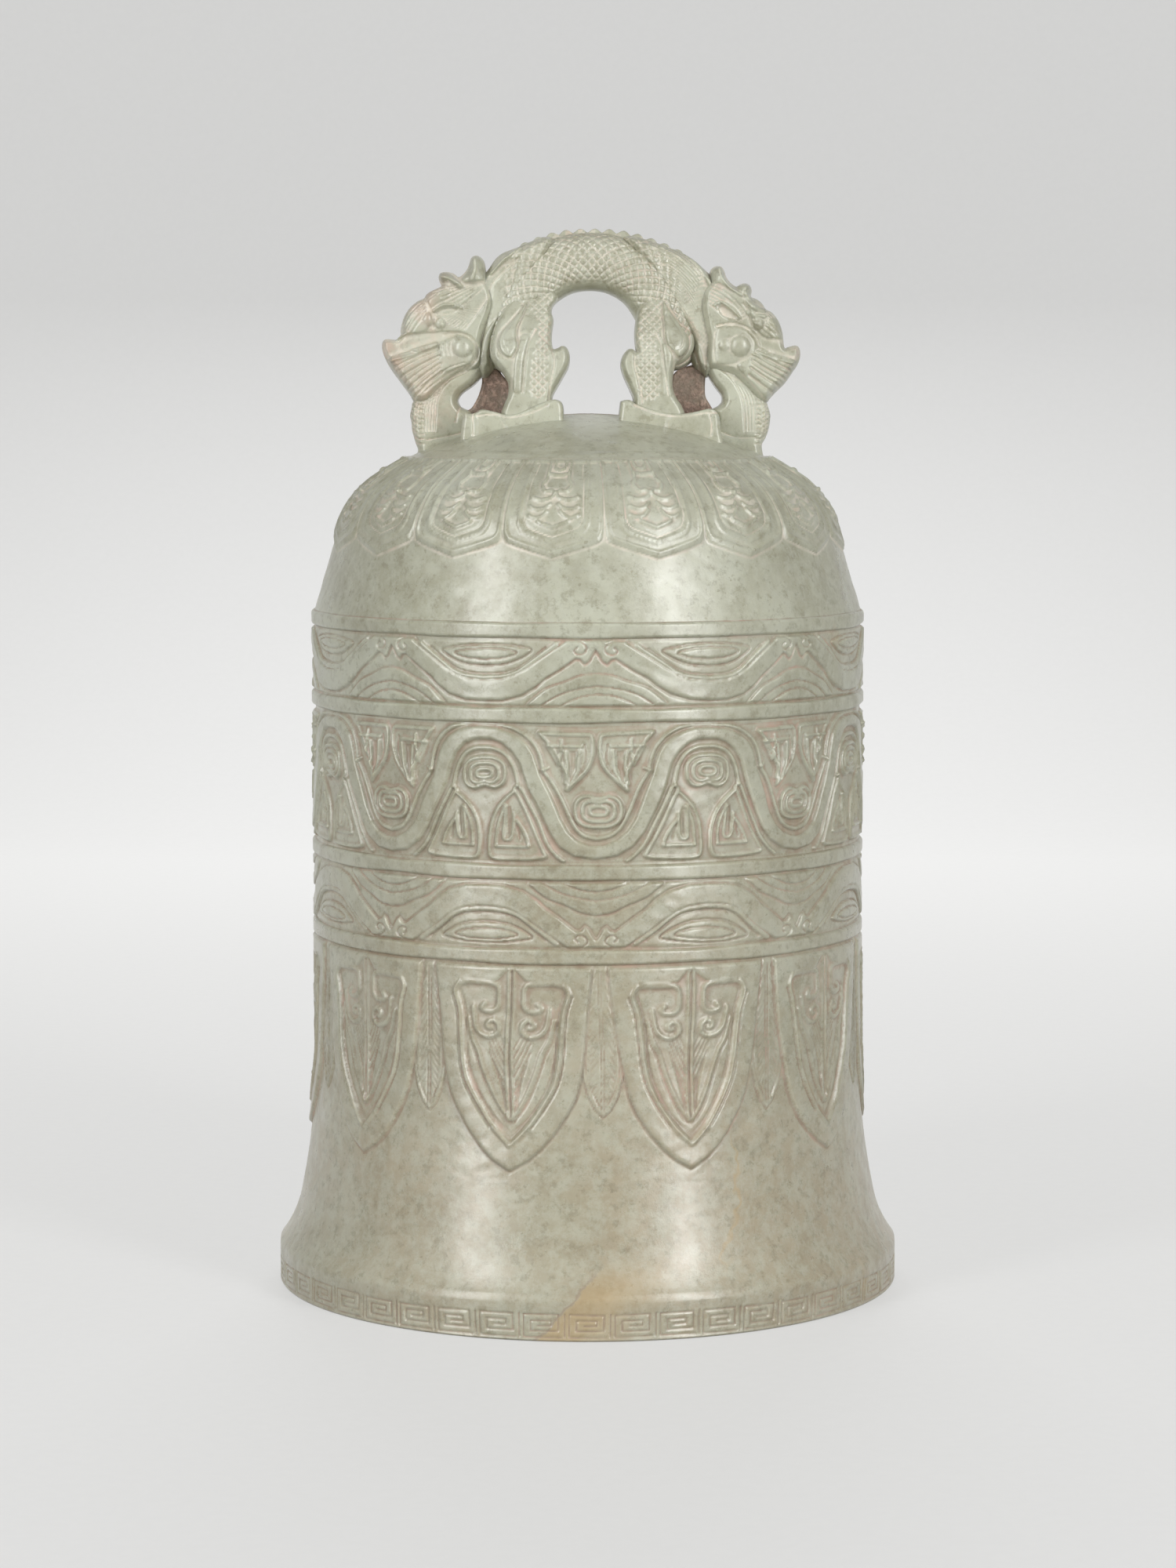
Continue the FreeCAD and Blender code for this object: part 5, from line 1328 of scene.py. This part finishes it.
def nephrite():
    """Pale celadon stone, clouded, with a honey wedge at the rim, old residue, and painted shade in the cuts below
    the shoulder.
    """
    known = bpy.data.materials.get("nephrite_celadon")
    if known:
        return known
    r = Recipe("nephrite_celadon")
    place = r.node("ShaderNodeTexCoord").outputs["Object"]
    split = r.node("ShaderNodeSeparateXYZ", Vector=place).outputs
    x, y, z = split["X"], split["Y"], split["Z"]
    clouds = r.between(r.noise(place, 26, 5, 0.55, 0.3), 0.40, 0.64)
    body = r.blend(clouds, paint("stone"), paint("pale_cloud"))
    olive = r.between(r.noise(place, 17, 6, 0.62, 0.8), 0.52, 0.74, 0.0, 0.50)
    body = r.blend(olive, body, paint("olive_cloud"))
    foot = r.between(z, 0.015, 0.165, 0.85, 0.10)
    drawn_warm = r.sum("MULTIPLY", foot, r.between(r.noise(place, 21, 4, 0.6), 0.30, 0.62, 0.45, 1.0))
    body = r.blend(drawn_warm, body, paint("warm"))
    patch = r.between(r.noise(place, 88, 7, 0.7, 0.4), 0.46, 0.62, 0.0, 0.22)
    body = r.blend(patch, body, paint("olive_cloud"))
    fine = r.between(r.noise(place, 260, 6, 0.75), 0.38, 0.64, 0.0, 0.50)
    body = r.blend(fine, body, paint("pale_cloud"))
    dusk = r.between(r.noise(place, 410, 5, 0.75), 0.50, 0.66, 0.0, 0.45)
    body = r.blend(dusk, body, paint("olive_cloud"))
    specks = r.between(r.noise(place, 620, 2, 0.5), 0.70, 0.76, 0.0, 0.45)
    body = r.blend(specks, body, paint("olive_cloud"))
    edge = r.sum("SUBTRACT", r.sum("MULTIPLY", x, 0.72), r.sum("MULTIPLY", z, 0.69))
    torn = r.sum("MULTIPLY", r.sum("SUBTRACT", r.noise(place, 90, 5, 0.6), 0.5), 0.006)
    edge = r.sum("ADD", r.sum("ADD", edge, 0.0086), torn)
    wedge = r.sum("MULTIPLY", r.between(edge, 0.0, 0.0006), r.between(edge, 0.004, 0.017, 1.0, 0.0))
    front = r.between(y, -0.045, -0.06)
    low = r.between(z, 0.010, 0.020, 1.0, 0.0)
    wedge = r.sum("MULTIPLY", r.sum("MULTIPLY", wedge, front), r.sum("MULTIPLY", low, 0.62))
    body = r.blend(wedge, body, paint("honey"))
    crack = r.sum("MULTIPLY", r.between(r.sum("ABSOLUTE", edge), 0.0, 0.0005, 0.6, 0.0), front)
    body = r.blend(r.sum("MULTIPLY", crack, low), body, paint("dirt_and_shade"))
    drift = r.sum("MULTIPLY", r.sum("SUBTRACT", r.noise(place, 34, 4, 0.6), 0.5), 0.030)
    vein = r.sum("ABSOLUTE", r.sum("ADD", r.sum("SUBTRACT", x, 0.033), drift))
    vein = r.between(vein, 0.0, 0.0007, 0.5, 0.0)
    height = r.sum("MULTIPLY", r.between(z, 0.012, 0.020), r.between(z, 0.040, 0.048, 1.0, 0.0))
    vein = r.sum("MULTIPLY", r.sum("MULTIPLY", vein, height), front)
    body = r.blend(vein, body, paint("honey"))
    russet = r.between(r.noise(place, 38, 5, 0.65, 0.5), 0.60, 0.70, 0.0, 0.42)
    side = r.sum("MULTIPLY", r.between(x, 0.050, 0.066), russet)
    body = r.blend(side, body, paint("honey"))
    aged = r.sum("MULTIPLY", r.between(x, -0.044, -0.026, 1.0, 0.0), r.between(z, 0.203, 0.212))
    aged = r.sum("MULTIPLY", aged, r.between(r.noise(place, 110, 5, 0.65), 0.40, 0.62, 0.0, 0.55))
    body = r.blend(aged, body, paint("blush"))
    hollow = r.node("ShaderNodeAttribute", {"attribute_name": "hollow"}).outputs["Fac"]
    # Patchy share of the cuts and grounds that the residue colours, and below the shoulder painted shade as well.
    grime_and_shade = r.between(r.noise(place, 320, 4, 0.65), 0.30, 0.62, 0.35, 1.0)
    lain = r.between(r.noise(place, 55, 5, 0.65), 0.36, 0.62, 0.45, 1.0)
    grime_and_shade = r.sum("MULTIPLY", grime_and_shade, lain)
    held = r.sum("MULTIPLY", r.between(hollow, 0.10, 0.75), r.sum("MULTIPLY", grime_and_shade, 0.85))
    # Below the shoulder the cuts take the darker brown, real residue and painted shade in one; above it the pale
    # residue.
    left = r.blend(r.between(z, 0.170, 0.178), paint("dirt_and_shade"), paint("residue"))
    pinker = r.between(r.noise(place, 70, 4, 0.6), 0.52, 0.66, 0.0, 0.6)
    body = r.blend(held, body, r.blend(pinker, left, paint("blush")))
    raw = r.node("ShaderNodeAttribute", {"attribute_name": "raw"}).outputs["Fac"]
    grain = r.between(r.noise(place, 900, 5, 0.75), 0.35, 0.66)
    pitted = r.blend(grain, paint("recess"), paint("blush"))
    bare = r.sum("MULTIPLY", raw, r.between(r.noise(place, 150, 4, 0.6), 0.25, 0.6, 0.65, 1.0))
    body = r.blend(bare, body, pitted)
    satin = r.between(r.noise(place, 120, 5, 0.65), 0.3, 0.7, 0.26, 0.42)
    rough = r.sum("ADD", satin, r.sum("MULTIPLY", held, 0.35))
    rough = r.sum("ADD", rough, r.sum("MULTIPLY", bare, 0.45))
    skin = r.noise(place, 640, 5, 0.75)
    polish = r.node("ShaderNodeBump", Strength=0.38, Distance=0.0002, Height=skin)
    crumbs = r.sum("MULTIPLY", bare, grain)
    relief = r.node("ShaderNodeBump", Strength=0.8, Distance=0.0004, Height=crumbs,
                    Normal=polish.outputs[0])
    stone = r.node("ShaderNodeBsdfPrincipled", Base_Color=body, Roughness=rough, IOR=1.61,
                   Coat_Weight=0.35, Coat_Roughness=0.22, Coat_IOR=1.5,
                   Subsurface_Weight=0.20, Subsurface_Scale=0.0012,
                   Subsurface_Radius=(1.0, 0.95, 0.6), Normal=relief.outputs[0])
    out = r.node("ShaderNodeOutputMaterial")
    r.tree.links.new(stone.outputs[0], out.inputs["Surface"])
    return r.material


def pale_board(name, colour_name):
    """Matt studio board with a faint tooth. The lens and the stone's polish see it pale,
    and it throws little light back on the stone."""
    r = Recipe(name)
    place = r.node("ShaderNodeTexCoord").outputs["Object"]
    tooth = r.noise(place, 300, 3, 0.5)
    tint = r.blend(r.between(tooth, 0.3, 0.7, 0.0, 0.03), paint(colour_name), (0.9, 0.9, 0.9, 1))
    path = r.node("ShaderNodeLightPath").outputs
    seen = r.sum("MAXIMUM", path["Is Camera Ray"], path["Is Glossy Ray"])
    seen = r.sum("MAXIMUM", seen, path["Is Transmission Ray"])
    board = r.node("ShaderNodeBsdfPrincipled", Base_Color=(0.19, 0.19, 0.19, 1), Roughness=0.65,
                   Emission_Color=tint, Emission_Strength=r.sum("MULTIPLY", seen, 0.86))
    out = r.node("ShaderNodeOutputMaterial")
    r.tree.links.new(board.outputs[0], out.inputs["Surface"])
    return r.material


# The studio

def softbox(name, azimuth, height, distance, size, power):
    """A tall soft panel that faces the bell from an angle round it."""
    lamp = bpy.data.lights.new(name, "AREA")
    lamp.shape, lamp.size, lamp.size_y = "RECTANGLE", size[0], size[1]
    lamp.energy = power
    holder = bpy.data.objects.new(name, lamp)
    a = math.radians(azimuth)
    holder.location = (distance * math.sin(a), -distance * math.cos(a), height)
    facing = -holder.location.copy()
    facing.z = 0.13 - height
    holder.rotation_euler = facing.to_track_quat("-Z", "Y").to_euler()
    bpy.context.scene.collection.objects.link(holder)
    return holder


def build_studio():
    board = pale_board("studio_board", "floor")
    reach, back, top = 3.0, 1.4, 2.6
    bend = 0.5
    path = [(-reach, 0.0), (back - bend, 0.0)]
    for step in range(1, 13):
        a = math.pi / 2 * step / 12
        path.append((back - bend + bend * math.sin(a), bend - bend * math.cos(a)))
    path.append((back, top))
    points = [(x, y, z - 0.00005) for y, z in path for x in (-reach, reach)]
    faces = [(2 * i, 2 * i + 1, 2 * i + 3, 2 * i + 2) for i in range(len(path) - 1)]
    mesh = bpy.data.meshes.new("studio_sweep")
    mesh.from_pydata(points, [], faces)
    mesh.polygons.foreach_set("use_smooth", [True] * len(faces))
    sweep = bpy.data.objects.new("studio_sweep", mesh)
    mesh.materials.append(board)
    bpy.context.scene.collection.objects.link(sweep)
    world = bpy.data.worlds.new("studio_air")
    world.use_nodes = True
    air, tree = world.node_tree.nodes["Background"], world.node_tree
    air.inputs["Color"].default_value = (1.0, 1.0, 1.0, 1)
    rays = tree.nodes.new("ShaderNodeLightPath").outputs
    seen = rays["Is Camera Ray"]
    for ray in ("Is Glossy Ray", "Is Transmission Ray"):
        either = tree.nodes.new("ShaderNodeMath")
        either.operation = "MAXIMUM"
        tree.links.new(seen, either.inputs[0])
        tree.links.new(rays[ray], either.inputs[1])
        seen = either.outputs[0]
    strength = tree.nodes.new("ShaderNodeMapRange")
    strength.inputs["To Min"].default_value = 0.12
    strength.inputs["To Max"].default_value = 0.60
    tree.links.new(seen, strength.inputs["Value"])
    tree.links.new(strength.outputs["Result"], air.inputs["Strength"])
    bpy.context.scene.world = world
    softbox("left_softbox", -43, 0.42, 1.15, (0.28, 1.3), 10.5)
    softbox("right_softbox", 38, 0.42, 1.15, (0.24, 1.3), 12.0)
    softbox("back_softbox", 180, 0.68, 1.15, (0.7, 0.4), 12.0).visible_glossy = False
    lens = bpy.data.cameras.new("studio_camera")
    lens.sensor_fit, lens.sensor_height, lens.lens = "VERTICAL", 36.0, 92.4
    lens.clip_start, lens.clip_end = 0.05, 20
    camera = bpy.data.objects.new("studio_camera", lens)
    camera.location = (0.0001, -0.9839, 0.21534)
    camera.rotation_euler = (math.pi / 2 - 0.09495, 0, 0)
    bpy.context.scene.collection.objects.link(camera)
    bpy.context.scene.camera = camera
    bpy.context.scene.view_settings.view_transform = "Standard"


# Operators, one for each piece or group of like pieces

class JADEBELL_OT_studio(Operator):
    """Lays the pale floor, the softboxes and the camera"""
    bl_idname = "jade_bell.studio"
    bl_label = "Studio"

    def execute(self, context):
        build_studio()
        return {"FINISHED"}


class JADEBELL_OT_inside(Operator):
    """Hollows the bell and flattens its rim's foot"""
    bl_idname = "jade_bell.inside"
    bl_label = "Hollowed inside"

    def execute(self, context):
        carve_inside(Outline())
        return {"FINISHED"}


class JADEBELL_OT_rim(Operator):
    """Cuts the key fret round the rim"""
    bl_idname = "jade_bell.rim"
    bl_label = "Rim fret"

    def execute(self, context):
        carve_rim(Outline())
        return {"FINISHED"}


class JADEBELL_OT_plain(Operator):
    """Polishes the plain flare and shoulder and raises the four rings"""
    bl_idname = "jade_bell.plain"
    bl_label = "Plain bands and rings"

    def execute(self, context):
        carve_plain(Outline())
        return {"FINISHED"}


class JADEBELL_OT_blades(Operator):
    """Carves the ten hanging blades and the leaves between them"""
    bl_idname = "jade_bell.blades"
    bl_label = "Hanging blades"

    def execute(self, context):
        carve_blades(Outline())
        return {"FINISHED"}


class JADEBELL_OT_eyes(Operator):
    """Carves the two bands of eyes, the lower one upside down"""
    bl_idname = "jade_bell.eyes"
    bl_label = "Eye bands"

    def execute(self, context):
        outline = Outline()
        carve_eye_band(outline, "upper_eye_band", *UPPER_EYES, False, 71,
                       ("upper_crescents", "upper_eyes", "upper_hills"))
        carve_eye_band(outline, "lower_eye_band", *LOWER_EYES, True, 83,
                       ("lower_crescents", "lower_eyes", "lower_hills"))
        return {"FINISHED"}


class JADEBELL_OT_waves(Operator):
    """Carves the wave ribbon, its cloud eyes, boots and feathers"""
    bl_idname = "jade_bell.waves"
    bl_label = "Wave band"

    def execute(self, context):
        carve_waves(Outline())
        return {"FINISHED"}


class JADEBELL_OT_petals(Operator):
    """Carves the sixteen petals over the shoulder"""
    bl_idname = "jade_bell.petals"
    bl_label = "Shoulder petals"

    def execute(self, context):
        carve_lappets(Outline())
        return {"FINISHED"}


class JADEBELL_OT_crown(Operator):
    """Rounds the plain crown under the dragon"""
    bl_idname = "jade_bell.crown"
    bl_label = "Crown"

    def execute(self, context):
        carve_crown(Outline())
        return {"FINISHED"}


class JADEBELL_OT_arch(Operator):
    """Carves the dragon's arched body with its scales and crest"""
    bl_idname = "jade_bell.arch"
    bl_label = "Dragon's body"

    def execute(self, context):
        carve_arch(Outline())
        return {"FINISHED"}


class JADEBELL_OT_legs(Operator):
    """Carves the four legs and the paws they stand on"""
    bl_idname = "jade_bell.legs"
    bl_label = "Legs and paws"

    def execute(self, context):
        carve_legs(Outline())
        return {"FINISHED"}


class JADEBELL_OT_heads(Operator):
    """Carves both heads with their beards, manes and chin legs"""
    bl_idname = "jade_bell.heads"
    bl_label = "Dragon's heads"

    def execute(self, context):
        outline = Outline()
        carve_left_head(outline)
        carve_right_head(outline)
        return {"FINISHED"}


STEPS = (
    JADEBELL_OT_studio, JADEBELL_OT_inside, JADEBELL_OT_rim, JADEBELL_OT_plain,
    JADEBELL_OT_blades, JADEBELL_OT_eyes, JADEBELL_OT_waves, JADEBELL_OT_petals,
    JADEBELL_OT_crown, JADEBELL_OT_arch, JADEBELL_OT_legs, JADEBELL_OT_heads,
)


class JADEBELL_PT_workshop(Panel):
    """The carving steps in their order"""
    bl_idname = "JADEBELL_PT_workshop"
    bl_label = "Jade bell"
    bl_space_type = "VIEW_3D"
    bl_region_type = "UI"
    bl_category = "Jade Bell"

    def draw(self, context):
        column = self.layout.column()
        for step in STEPS:
            column.operator(step.bl_idname)


CLASSES = (BellSizes, BellColours) + STEPS + (JADEBELL_PT_workshop,)


def register():
    for each in CLASSES:
        bpy.utils.register_class(each)
    bpy.types.Scene.jade_bell_sizes = PointerProperty(type=BellSizes)
    bpy.types.Scene.jade_bell_colours = PointerProperty(type=BellColours)


def unregister():
    del bpy.types.Scene.jade_bell_colours
    del bpy.types.Scene.jade_bell_sizes
    for each in reversed(CLASSES):
        bpy.utils.unregister_class(each)


def main():
    register()
    for step in STEPS:
        group, name = step.bl_idname.split(".")
        getattr(getattr(bpy.ops, group), name)()


if __name__ == "__main__":
    main()
